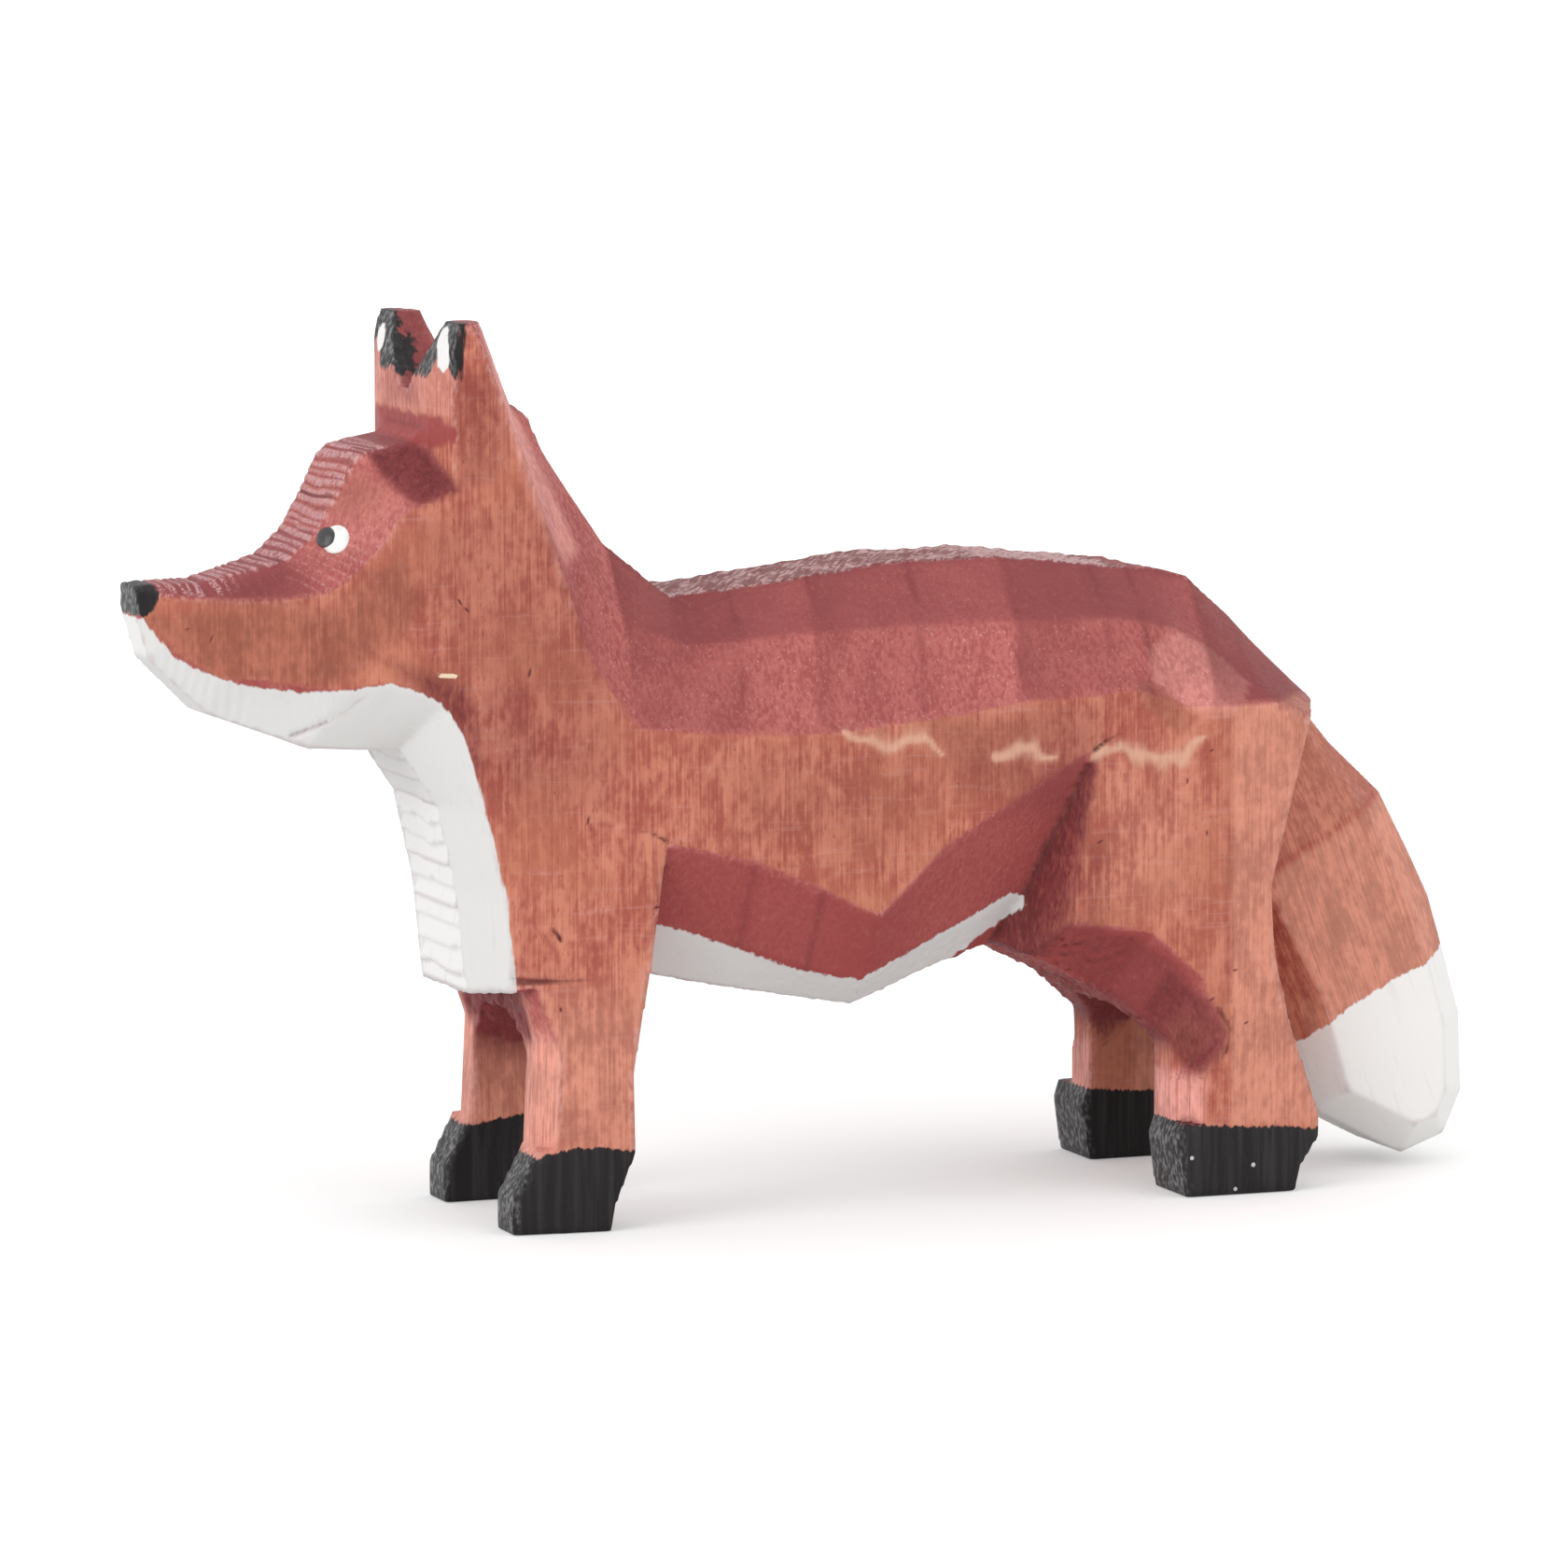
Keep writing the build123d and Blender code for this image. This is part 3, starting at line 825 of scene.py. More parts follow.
@dataclass
class Carving:
    """A carved piece: a copy of a frame node, cut fine enough to take knife marks and paint lines."""

    node: str
    name: str
    slot: str
    cell: float = 0.40
    octree_depth: int = 8
    weld: float = 0.001
    softening: float = 0.45
    bend_rounds: int = 2
    bend_spread: float = 0.6
    bend_limit: float = 1.5
    tint_top: Mask = ((UP, Step(-0.4, -0.15)),)
    fine_zones: tuple[Mask, ...] = ()
    patches: tuple[Patch, ...] = ()
    points: np.ndarray = field(init=False, default=None)
    normals: np.ndarray = field(init=False, default=None)
    piece: bpy.types.Object = field(init=False, default=None)

    @property
    def profile(self) -> np.ndarray:
        """The points as x and z."""
        return self.points[:, [0, 2]]

    def part(self, mask: Mask) -> np.ndarray:
        """How far each point lies in a mask."""
        return inside(mask, self.points, self.normals)

    def build(self) -> bpy.types.Object:
        """Model the piece, cut its marks and give it its fields.

        Returns:
            The piece, riding on the root body in place of its node.
        """
        mesh = self.fine_copy()
        self.refine(mesh)
        self.points = read_points(mesh, "co") / MM
        self.normals = read_points(mesh, "normal")
        fields = self.surface_fields()
        self.points += self.normals * self.relief()[:, None]
        mesh.vertices.foreach_set("co", (self.points * MM).astype(np.float32).ravel())
        mesh.update()
        fields[Field.EDGE] = self.bends(mesh)
        for name, values in fields.items():
            layer = mesh.attributes.new(name.value, "FLOAT", "POINT")
            layer.data.foreach_set("value", values.astype(np.float32))
        mesh.shade_smooth()
        self.piece = new_object(self.name, mesh)
        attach(self.piece, "root")
        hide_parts(self.node)
        return self.piece

    def fine_copy(self) -> bpy.types.Mesh:
        """Copy the node's mesh as one closed skin of small even faces with crisp edges.

        Returns:
            The new mesh.
        """
        shape = bmesh.new()
        shape.from_mesh(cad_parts[self.node].data)
        bmesh.ops.remove_doubles(shape, verts=shape.verts, dist=self.weld * MM)
        coarse = new_mesh(shape, self.name + "_coarse")
        draft = new_object(self.name + "_draft", coarse)
        low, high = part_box(self.node)
        skin = draft.modifiers.new("skin", "REMESH")
        skin.mode = "SHARP"
        skin.octree_depth = self.octree_depth
        skin.scale = min(0.99, max(high - low) / (self.cell * MM * 2**self.octree_depth))
        skin.use_remove_disconnected = False
        bpy.context.view_layer.update()
        fine = bpy.data.meshes.new_from_object(draft.evaluated_get(bpy.context.evaluated_depsgraph_get()))
        fine.name = self.name
        bpy.data.objects.remove(draft)
        bpy.data.meshes.remove(coarse)
        return fine

    def refine(self, mesh: bpy.types.Mesh) -> None:
        """Soften the knife edges and halve the faces where small marks go.

        Args:
            mesh: The mesh to change.
        """
        shape = bmesh.new()
        shape.from_mesh(mesh)
        bmesh.ops.smooth_vert(
            shape, verts=shape.verts, factor=self.softening, use_axis_x=True, use_axis_y=True, use_axis_z=True)
        places = np.array([edge.verts[0].co + edge.verts[1].co for edge in shape.edges]) / (2 * MM)
        wanted = np.zeros(len(places))
        for zone in self.fine_zones:
            wanted += inside(zone, places, np.zeros_like(places))
        chosen = [edge for edge, fine in zip(shape.edges, wanted) if fine]
        bmesh.ops.subdivide_edges(shape, edges=chosen, cuts=1, use_grid_fill=True)
        shape.normal_update()
        shape.to_mesh(mesh)
        shape.free()

    def bends(self, mesh: bpy.types.Mesh) -> np.ndarray:
        """Measure how sharply the skin bends at each point.

        Args:
            mesh: The finished mesh.

        Returns:
            The bend, about 1 on a crisp ridge and below 0 in a crease.
        """
        pairs = np.zeros(len(mesh.edges) * 2, np.int64)
        mesh.edges.foreach_get("vertices", pairs)
        first, second = pairs.reshape(-1, 2).T
        count = len(mesh.vertices)
        normals = read_points(mesh, "normal")
        run = self.points[second] - self.points[first]
        length = np.maximum(np.linalg.norm(run, axis=1), 1e-6)
        turn = np.einsum("ij,ij->i", normals[second] - normals[first], run) / length**2
        degree = np.maximum(np.bincount(first, minlength=count) + np.bincount(second, minlength=count), 1)
        bend = (np.bincount(first, turn, count) + np.bincount(second, turn, count)) / degree
        for _ in range(self.bend_rounds):
            near = np.bincount(first, bend[second], count) + np.bincount(second, bend[first], count)
            bend = (1.0 - self.bend_spread) * bend + self.bend_spread * near / degree
        return np.clip(bend, -self.bend_limit, self.bend_limit)

    def surface_fields(self) -> dict[Field, np.ndarray]:
        """Values at each point that the finish reads, without the edges."""
        raise NotImplementedError

    def relief(self) -> np.ndarray:
        """Height of the knife and saw marks at each point, along its normal."""
        raise NotImplementedError

    def patch_fields(self) -> dict[Field, np.ndarray]:
        """Find how strongly each point takes each tone of the stain.

        Returns:
            A value from 0 to 1 for each tone.
        """
        shares = {tint: np.zeros(len(self.points)) for tint in TINTS}
        for patch in self.patches:
            cover = Step(-patch.fade, patch.fade, patch.amount).of(cover_of(self.profile, patch.outline))
            if patch.tint is not Field.DEEP:
                cover = cover * self.part(self.tint_top)
            shares[patch.tint] = np.maximum(shares[patch.tint], cover)
        return shares

    def dress(self, material: bpy.types.Material) -> None:
        """Give the piece its finish."""
        self.piece.data.materials.append(material)


@dataclass
class FoxBody(Carving):
    """The body: one board of upright grain, sawn to outline, faceted with a knife, stained and painted."""

    fine_zones: tuple[Mask, ...] = (
        ((X, below(-26.5)), (Z, over(35.6))),
        ((X, below(-33.0)),),
        ((X, below(-20.6)), (Z, over(12.9)), (Z, below(29.0)), (HALF, below(4.6))),
        ((X, over(-14.0)), (X, below(28.0)), (Z, over(31.0)), (HALF, below(4.2))),
        ((X, over(-12.6)), (X, below(17.5)), (Z, over(9.5)), (Z, below(15.5))),
        ((Z, over(44.3)),),
        ((X, over(-20.0)), (X, below(-17.5)), (Z, over(9.5)), (Z, below(13.6)), (HALF, below(6.6))),
        ((X, over(-1.6)), (X, below(21.4)), (Z, over(24.6)), (Z, below(27.9)), (Y, below(-7.0))),
        ((X, over(-24.8)), (X, below(-22.6)), (Z, over(30.9)), (Z, below(32.0)), (Y, below(0.0))),
        ((X, over(-20.6)), (X, below(-15.0)), (Z, over(13.7)), (Z, below(14.8)), (HALF, over(6.5))),
        ((X, over(-18.4)), (X, below(-17.0)), (Z, over(16.1)), (Z, below(17.6)), (Y, below(-6.5))),
        ((X, over(-13.5)), (X, below(-10.9)), (Z, over(21.2)), (Z, below(23.0)), (HALF, over(7.0))),
    )

    bib_outline: Line = (
        (-19.9, 13.3), (-20.05, 14.5), (-20.55, 19.0), (-21.2, 21.9), (-22.05, 25.4), (-22.65, 27.5),
        (-23.25, 28.9), (-24.15, 30.0), (-25.85, 30.85), (-27.35, 31.05), (-28.65, 30.75), (-31.65, 30.65),
        (-33.75, 30.9), (-35.75, 31.4), (-37.15, 32.0), (-38.15, 32.75), (-39.15, 33.9), (-39.7, 34.75),
        (-42.0, 34.8), (-42.0, 26.0), (-30.0, 24.0), (-24.5, 20.0), (-23.5, 13.1),
    )
    belly_outline: Line = (
        (-11.6, 16.9), (-10.75, 16.75), (-9.3, 16.4), (-8.05, 15.9), (-2.45, 13.8), (1.05, 13.1), (5.45, 15.3),
        (10.4, 17.65), (11.1, 17.4), (11.15, 16.7), (7.2, 13.6), (6.5, 9.0), (-11.8, 9.0), (-11.8, 14.1),
    )
    fore_foot: Line = (
        (-22.0, 4.3), (-18.4, 4.42), (-17.6, 4.63), (-16.4, 4.87), (-15.4, 4.83), (-14.3, 4.69), (-12.0, 4.3),
        (-12.0, -2.0), (-22.0, -2.0),
    )
    hind_foot: Line = (
        (17.5, 4.1), (19.8, 4.25), (22.6, 4.0), (25.1, 3.88), (27.7, 3.6), (30.0, 3.5), (30.0, -2.0),
        (17.5, -2.0),
    )
    nose_cap: Line = (
        (-42.0, 34.75), (-39.5, 34.9), (-39.1, 35.2), (-38.87, 35.94), (-38.92, 36.5), (-39.0, 38.0),
        (-42.0, 38.0),
    )

    ear_foot: float = 46.0
    ear_side: Line = ((-26.0, 47.7), (-23.0, 47.7), (-22.7, 49.7), (-22.5, 53.0), (-26.0, 53.0))
    ear_inner: Line = (
        (-24.5, 47.5), (-22.6, 47.5), (-22.3, 49.5), (-22.9, 49.7), (-22.7, 53.0), (-24.5, 53.0),
    )
    ear_inner_half: float = 4.5
    ear_front: float = 0.6
    ear_brush_foot: float = 47.8
    ear_brush_arch: float = 1.9
    ear_brush_middle: float = 5.5
    ear_brush_spread: float = 0.8
    ear_brush_wetness: float = 0.4
    ear_strokes: tuple[tuple[Point3, Point3, float], ...] = (
        ((-23.35, -4.9, 49.9), (-23.7, -5.8, 48.9), 0.72), ((-23.45, 5.5, 49.6), (-23.6, 5.1, 49.1), 0.55),
    )
    ear_base: Line = ((-25.0, 45.6), (-23.6, 45.6), (-23.3, 44.8), (-23.6, 44.0), (-25.2, 44.1))
    ear_base_edge: Step = Step(-0.3, 0.2, 0.7)
    ear_base_torn: float = 0.25
    ear_base_cloud: Cloud = Cloud((2.0, 2.0, 1.0), 29.0)
    ear_base_front: Mask = ((AHEAD, over(0.2)),)

    cuts: tuple[Cut, ...] = (
        Cut(((-20.3, 14.3), (-17.5, 14.2), (-15.5, 14.2)), 0.30, 0.05),
        Cut(((-11.3, 21.8), (-12.2, 22.3), (-13.1, 22.55)), 0.16, 0.05),
        Cut(((14.1, 26.0), (14.8, 26.5), (15.7, 26.9)), 0.20, 0.08),
        # The curved end of the thigh gouge: a painted shadow line along its border, over a shallow groove
        Cut(((21.7, 10.8), (22.5, 9.6), (22.3, 8.4), (21.4, 7.3), (20.4, 6.6)), 0.20),
        Cut(((-31.8, 28.1), (-29.8, 29.0), (-27.5, 30.9)), 0.18),
        Cut(((-17.9, 17.15), (-17.45, 16.55)), 0.17, 0.0, left_only=True),
    )
    cut_side: float = 0.5
    cut_relief: Step = Step(0.0, 0.2, 0.25)
    chip: Line = ((-24.35, 31.68), (-23.15, 31.58), (-23.2, 31.26), (-24.3, 31.34))
    chip_relief: Step = Step(0.0, 0.1, 0.1)
    ticks: tuple[tuple[Point2, Point2], ...] = (
        ((-36.07, 33.9), (-36.31, 33.38)), ((-37.57, 34.14), (-37.28, 34.19)),
        ((-23.15, 35.69), (-22.96, 35.38)), ((-22.78, 35.2), (-22.55, 34.98)),
        ((-19.13, 31.77), (-19.26, 31.25)), ((-15.86, 23.4), (-15.94, 22.95)), ((-12.18, 18.15), (-11.7, 18.2)),
        ((-17.49, 12.74), (-17.49, 12.56)), ((14.2, 20.65), (14.57, 20.84)),
        ((21.04, 25.62), (21.3, 25.74)), ((19.72, 24.15), (19.68, 23.84)), ((21.17, 11.26), (21.45, 11.5)),
        ((22.55, 12.96), (22.84, 13.04)), ((23.27, 9.88), (23.53, 10.0)), ((20.9, 21.09), (20.9, 20.83)),
    )
    fleck_places: tuple[Point3, ...] = ((20.1, -9.35, 2.3), (23.9, -9.4, 1.7), (22.8, -9.4, 0.35))

    bare_marks: tuple[Line, ...] = (
        ((-0.9, 27.4), (0.9, 26.85), (1.9, 26.6), (2.7, 26.95), (3.55, 27.4), (4.4, 26.8), (4.9, 26.2)),
        ((8.1, 25.75), (9.1, 26.05), (10.25, 26.25), (10.8, 25.85), (11.4, 25.5)),
        ((13.9, 25.75), (15.5, 26.3), (16.2, 26.1), (16.9, 25.4), (18.2, 25.0), (19.35, 25.3), (20.7, 26.5)),
    )
    bare_half: float = 0.48
    bare_end: float = 0.45
    bare_feather: float = 0.55
    bare_wobble: float = 0.5
    bare_clouds: tuple[Cloud, Cloud] = (Cloud((0.9, 0.9, 0.9), 17.0), Cloud((0.9, 0.9, 0.9), 23.0))

    patches: tuple[Patch, ...] = (
        Patch(Field.DEEP, 1.0, (
            (-27.2, 43.6), (-25.2, 44.0), (-24.2, 43.9), (-23.5, 42.6), (-23.1, 41.6), (-25.3, 40.9),
            (-26.4, 41.9)), 0.25),
        # Pink over the eye facet: a paler stain with painted light from above
        Patch(Field.PINK, 0.10, (
            (-27.4, 43.2), (-26.6, 41.7), (-25.5, 40.5), (-27.0, 38.6), (-28.6, 37.7), (-30.6, 38.3),
            (-28.9, 41.4))),
        Patch(Field.DEEP, 0.45, (
            (-38.2, 36.1), (-34.7, 36.7), (-31.5, 37.7), (-29.6, 36.3), (-32.0, 35.6), (-35.9, 35.5))),
        Patch(Field.BROWN, 0.8, (
            (-39.6, 34.7), (-35.9, 35.3), (-29.9, 35.4), (-26.3, 38.2), (-25.0, 35.6), (-26.9, 33.1),
            (-29.9, 30.9), (-35.9, 31.2), (-37.9, 32.4)), 0.8),
        Patch(Field.DEEP, 0.72, (
            (-27.0, 32.3), (-22.5, 31.1), (-21.7, 27.9), (-21.6, 25.5), (-22.8, 26.7), (-24.0, 29.2),
            (-25.3, 30.6)), 0.7),
        Patch(Field.DEEP, 0.38, (
            (-22.4, 30.6), (-19.6, 31.6), (-18.3, 27.9), (-18.6, 25.3), (-20.7, 24.5), (-21.7, 29.0)), 0.7),
        Patch(Field.DEEP, 0.35, (
            (-23.3, 48.2), (-21.3, 48.2), (-20.2, 45.0), (-21.0, 42.0), (-22.9, 41.6)), 0.6),
        Patch(Field.PINK, 0.36, (
            (-25.0, 45.7), (-23.35, 45.7), (-23.25, 48.0), (-23.0, 50.0), (-25.0, 50.0)), 0.15),
        Patch(Field.DEEP, 0.26, (
            (-25.5, 40.0), (-17.0, 42.0), (-14.0, 33.0), (-14.0, 24.0), (-22.0, 24.0), (-24.5, 32.0)), 2.0),
        # Pink down the ear's rear edge and the nape: a paler stain with a painted sheen
        Patch(Field.PINK, 0.68, (
            (-21.6, 51.5), (-19.5, 51.5), (-19.0, 46.6), (-16.6, 41.0), (-15.4, 38.0), (-16.8, 37.4),
            (-18.9, 41.0), (-20.7, 46.6)), 0.4),
        Patch(Field.DEEP, 0.22, ((-33.0, 37.9), (-28.5, 38.4), (-27.3, 36.9), (-31.0, 36.4)), 0.6),
        Patch(Field.BROWN, 0.5, ((-28.2, 42.8), (-26.6, 41.6), (-27.4, 39.9), (-29.6, 40.4)), 0.8),
        Patch(Field.PINK, 0.34, (
            (18.0, 31.6), (19.9, 32.4), (22.2, 31.2), (24.0, 29.4), (22.4, 27.6), (20.5, 27.7),
            (17.6, 29.8)), 0.12),
        Patch(Field.BROWN, 0.6, ((17.2, 29.8), (20.5, 27.6), (19.3, 26.5), (16.4, 29.0)), 0.2),
        Patch(Field.PALE, 0.7, (
            (22.35, 28.2), (28.5, 28.4), (27.0, 20.0), (25.6, 14.0), (29.0, 4.0), (22.4, 4.0)), 0.12),
        Patch(Field.DEEP, 0.32, (
            (22.3, 28.1), (22.6, 28.1), (22.5, 16.0), (22.3, 11.0), (22.1, 11.0), (22.3, 16.0)), 0.12),
        Patch(Field.PALE, 0.6, ((-21.0, 13.6), (-12.0, 13.6), (-12.6, 3.5), (-21.0, 3.5)), 2.0),
        Patch(Field.PALE, 0.3, ((15.0, 17.0), (20.0, 17.0), (20.0, 24.0), (15.0, 24.0)), 2.0),
        Patch(Field.DEEP, 0.4, (
            (13.0, 15.3), (16.2, 15.3), (19.1, 13.6), (21.2, 11.2), (22.4, 9.5), (22.2, 8.4), (20.6, 7.0),
            (19.5, 8.5), (17.0, 11.0), (13.0, 13.6)), 0.15),
        Patch(Field.DEEP, 0.75, (
            (18.8, 13.4), (21.2, 11.2), (22.4, 9.5), (22.2, 8.4), (20.6, 7.0), (19.5, 8.5), (18.0, 10.6)), 0.3),
        Patch(Field.DEEP, 0.3, ((12.8, 15.0), (15.0, 15.0), (15.0, 21.0), (13.4, 21.0)), 0.9),
        Patch(Field.DEEP, 0.38, ((4.0, 28.0), (14.5, 28.5), (13.5, 22.0), (6.0, 24.0)), 1.5),
        Patch(Field.BROWN, 0.4, ((-9.0, 26.5), (4.0, 26.0), (2.0, 20.0), (-7.0, 22.0)), 2.5),
    )

    front_steps: tuple[Step, ...] = (Step(0.45, 0.8, 0.9), Step(0.92, 0.97, 0.1))
    # Painted shade between the fore legs
    leg_gap_shade: Mask = ((HALF, Step(4.9, 4.3, 0.7)), (Z, Step(7.5, 9.5)), (Z, Step(15.0, 14.0)), (X, below(0.0)))
    ear_notch: Mask = ((Z, Step(45.2, 46.4, 0.65)), (HALF, Step(4.6, 4.2)), (X, Step(-23.9, -23.5)))
    ear_drips: Mask = ((HALF, Step(3.4, 1.2, 0.4)), (Z, Step(45.6, 46.6)))
    fore_shin: Mask = ((X, below(0.0)), (Z, Step(12.0, 10.0, 0.95)))
    hind_shin: Mask = ((X, over(0.0)), (Z, Step(7.5, 6.5, 0.95)))
    arch: Mask = (
        (AHEAD, Step(0.1, 0.3)), (X, below(-15.0)), (Z, Step(9.8, 11.2)), (Z, Step(13.6, 13.3)),
        (HALF, Step(6.0, 5.2)),
    )
    haunch_valley: Line = ((9.5, 14.0), (11.2, 17.6), (14.2, 26.4))
    haunch_edge: Line = ((12.9, 14.0), (14.6, 26.4))
    haunch_wall: Mask = ((AHEAD, Step(0.1, 0.3)), (Z, over(14.0)), (Z, below(26.4)))
    haunch_margin: float = 0.8
    haunch_fade: Step = Step(0.35, 1.0, 0.55)

    back_stops: tuple[float, ...] = (-6.2, -1.6, 4.4, 10.2, 15.6, 18.0, 22.2)
    back_tones: tuple[float, ...] = (0.35, 0.05, 0.2, 0.0, 0.28, 0.15, 0.0, 0.3)
    back_ends: Point2 = (-13.2, 28.0)
    back: Mask = ((UP, Step(0.2, 0.45)), (X, over(-13.0)), (Z, over(26.0)))
    back_level: float = 33.0
    stop_lean: float = 0.12
    stop_half: float = 0.2
    stop_tone: float = 0.6
    stop_fade: float = 0.22
    scoop_end: Step = Step(0.88, 0.72)
    scoop_depth: float = 0.06
    belly_stops: tuple[float, ...] = (-6.2, -2.1)
    belly: Mask = ((UP, Step(-0.15, -0.35, 0.4)), (SIDE, Step(0.3, 0.5)), (Z, over(12.0)))

    sawn: Mask = (
        (UP, Step(0.80, 0.92)), (HALF, Step(4.2, 3.4)), (X, over(-13.5)), (X, Step(19.2, 16.5)),
        (Z, over(30.0)),
    )
    # Rise of the sawn top's pale share towards the rear: bare wood and a painted highlight
    sawn_wear_and_highlight: Step = Step(3.0, 15.0, 0.8)
    saw_reach: Mask = ((UP, Step(0.72, 0.88)), (HALF, Step(4.2, 3.4)), (X, over(-13.5)), (Z, over(25.0)))
    saw_strokes: Cloud = Cloud((1.7, 0.5, 0.5), 7.0)
    saw_turn_deg: float = 35.0
    saw_depth: float = 0.16

    head_line: Line = (
        (-40.0, 36.5), (-36.3, 36.6), (-33.9, 37.2), (-31.9, 37.7), (-30.25, 39.1), (-29.1, 41.05),
        (-28.1, 43.0), (-27.4, 43.7), (-24.5, 44.2),
    )
    brow: Mask = ((SIDE, Step(0.62, 0.4)), (X, Step(-25.4, -26.4)))
    brow_reach: Step = Step(1.2, 0.5)
    groove: Step = Step(0.30, 0.0, 2.0)
    chatter_pitch: float = 0.55
    chatter_sway: float = 0.32
    chatter_cloud: Cloud = Cloud((0.5, 0.2, 0.5), 5.0)
    chatter_depth: float = 0.045
    cheek: Mask = ((UP, Step(0.15, 0.3)),)
    cheek_middle: Point2 = (-29.0, 37.3)
    cheek_stretch: float = 1.4
    cheek_reach: Step = Step(2.8, 1.2, 0.6)
    cheek_pitch: float = 0.5
    cheek_lean_deg: float = -28.0
    cheek_wander: float = 0.2
    cheek_cloud: Cloud = Cloud((0.5, 0.25, 0.5), 5.0)

    jaw: Mask = ((X, Step(-33.5, -35.0)), (Z, Step(34.6, 34.0)), (SIDE, Step(0.3, 0.5)), (UP, below(-0.1)))
    jaw_pitch: float = 0.55
    jaw_wander: float = 0.3
    jaw_depth: float = 0.06
    bib: Mask = (
        (SIDE, Step(0.35, 0.25)), (AHEAD, over(0.5)), (X, below(-20.8)), (Z, Step(12.8, 13.6)),
        (Z, Step(29.0, 27.5)),
    )
    bib_pitch: float = 1.2
    bib_wander: float = 0.35
    bib_depth: float = 0.3
    fuzz: Mask = ((UP, Step(-0.5, -0.75)), (Z, Step(5.0, 7.0)), (Z, Step(18.5, 16.5)))
    fuzz_in_paint: float = 0.35
    fuzz_depth: float = 0.22
    fuzz_cloud: Cloud = Cloud((2.6, 2.6, 1.3), 3.0)
    hand_cloud: Cloud = Cloud((0.35, 0.35, 0.35))
    hand_step: Step = Step(0.15, 0.4, 0.05)
    sole: Mask = ((Z, Step(0.15, 0.9)),)

    def surface_fields(self) -> dict[Field, np.ndarray]:
        """Work out the values that the finish reads, without the edges.

        Returns:
            A value at each point for each field.
        """
        up = self.normals[:, 2]
        front = sum(step.of(-self.normals[:, 0]) for step in self.front_steps)
        torn = self.ear_base_torn * self.ear_base_cloud.at(self.points)
        ear_base = self.ear_base_edge.of(cover_of(self.profile, self.ear_base) + torn)
        strip, band = self.brow_bands()
        fields = {
            Field.ACROSS: np.abs(up),
            Field.UNDER: np.maximum(np.clip(-up, 0.0, 1.0), ear_base * self.part(self.ear_base_front)),
            Field.FRONT: front,
            Field.SAWN: self.part(self.sawn) * (1.0 + self.sawn_wear_and_highlight.of(self.points[:, 0])),
            Field.WHITE: self.white_cover(),
            Field.BLACK: self.black_cover(),
            Field.BARE: self.chip_cover(),
            Field.RUBBED: self.rubbed_marks(),
            Field.CUT: self.cut_cover(),
            Field.CHATTER: self.chatter(),
            Field.BROW: strip,
            Field.BAND: band,
        } | self.patch_fields()
        # Deep tone: the stain along the back's and belly's knife stops and in the ear notch and its drips;
        # painted shade on the haunch wall and between the fore legs; under the bib, torn fibres with painted
        # shade
        fields[Field.DEEP] = np.max([
            fields[Field.DEEP], self.back_shade(), self.belly_shade(), self.haunch_shade(),
            self.part(self.arch), self.part(self.leg_gap_shade), self.part(self.ear_notch),
            front * self.part(self.ear_drips),
        ], axis=0)
        # Painted light: the forward faces of the lower legs take the pink as if lit from the front
        lit_shins = front * (self.part(self.fore_shin) + self.part(self.hind_shin))
        fields[Field.PINK] = np.maximum(fields[Field.PINK], lit_shins)
        return fields

    def haunch_shade(self) -> np.ndarray:
        """Find the painted shade on the wall in front of the haunch, darkest down in its valley.

        Returns:
            The tone, from 0 to 1.
        """
        x, _, z = self.points.T
        lines = (self.haunch_valley, self.haunch_edge)
        start, end = (np.interp(z, *np.array(line).T[::-1]) for line in lines)
        share = np.clip((x - start) / (end - start), 0.0, 1.0)
        wall = self.part(self.haunch_wall) * (x > start - self.haunch_margin) * (x < end + self.haunch_margin)
        return wall * (1.0 - self.haunch_fade.of(share))

    def back_places(self) -> np.ndarray:
        """Place of each point along the back, whose knife stops lean."""
        return self.points[:, 0] - self.stop_lean * (self.points[:, 2] - self.back_level)

    def back_facets(self) -> tuple[np.ndarray, np.ndarray]:
        """Find the back's facets.

        Returns:
            Which facet each point lies on, and how far along it from its knife stop.
        """
        place = self.back_places()
        stops = np.array([self.back_ends[0], *self.back_stops, self.back_ends[1]])
        facet = np.clip(np.searchsorted(stops, place) - 1, 0, len(stops) - 2)
        share = (place - stops[facet]) / (stops[facet + 1] - stops[facet])
        return facet, np.clip(share, 0.0, 1.0)

    def back_shade(self) -> np.ndarray:
        """Find how deep the stain lies on the back's facets, darkest along each knife stop.

        Returns:
            The tone, from 0 to 1.
        """
        facet, share = self.back_facets()
        place = self.back_places()
        tones = [np.array(self.back_tones)[facet] + self.stop_fade * (1.0 - share) ** 3]
        tones += [self.stop_tone * bell((place - stop) / self.stop_half) for stop in self.back_stops]
        return self.part(self.back) * np.max(tones, axis=0)

    def belly_shade(self) -> np.ndarray:
        """How deep the stain lies along the knife stops of the belly facets, from 0 to 1."""
        lines = [bell((self.points[:, 0] - stop) / self.stop_half) for stop in self.belly_stops]
        return self.part(self.belly) * np.max(lines, axis=0)

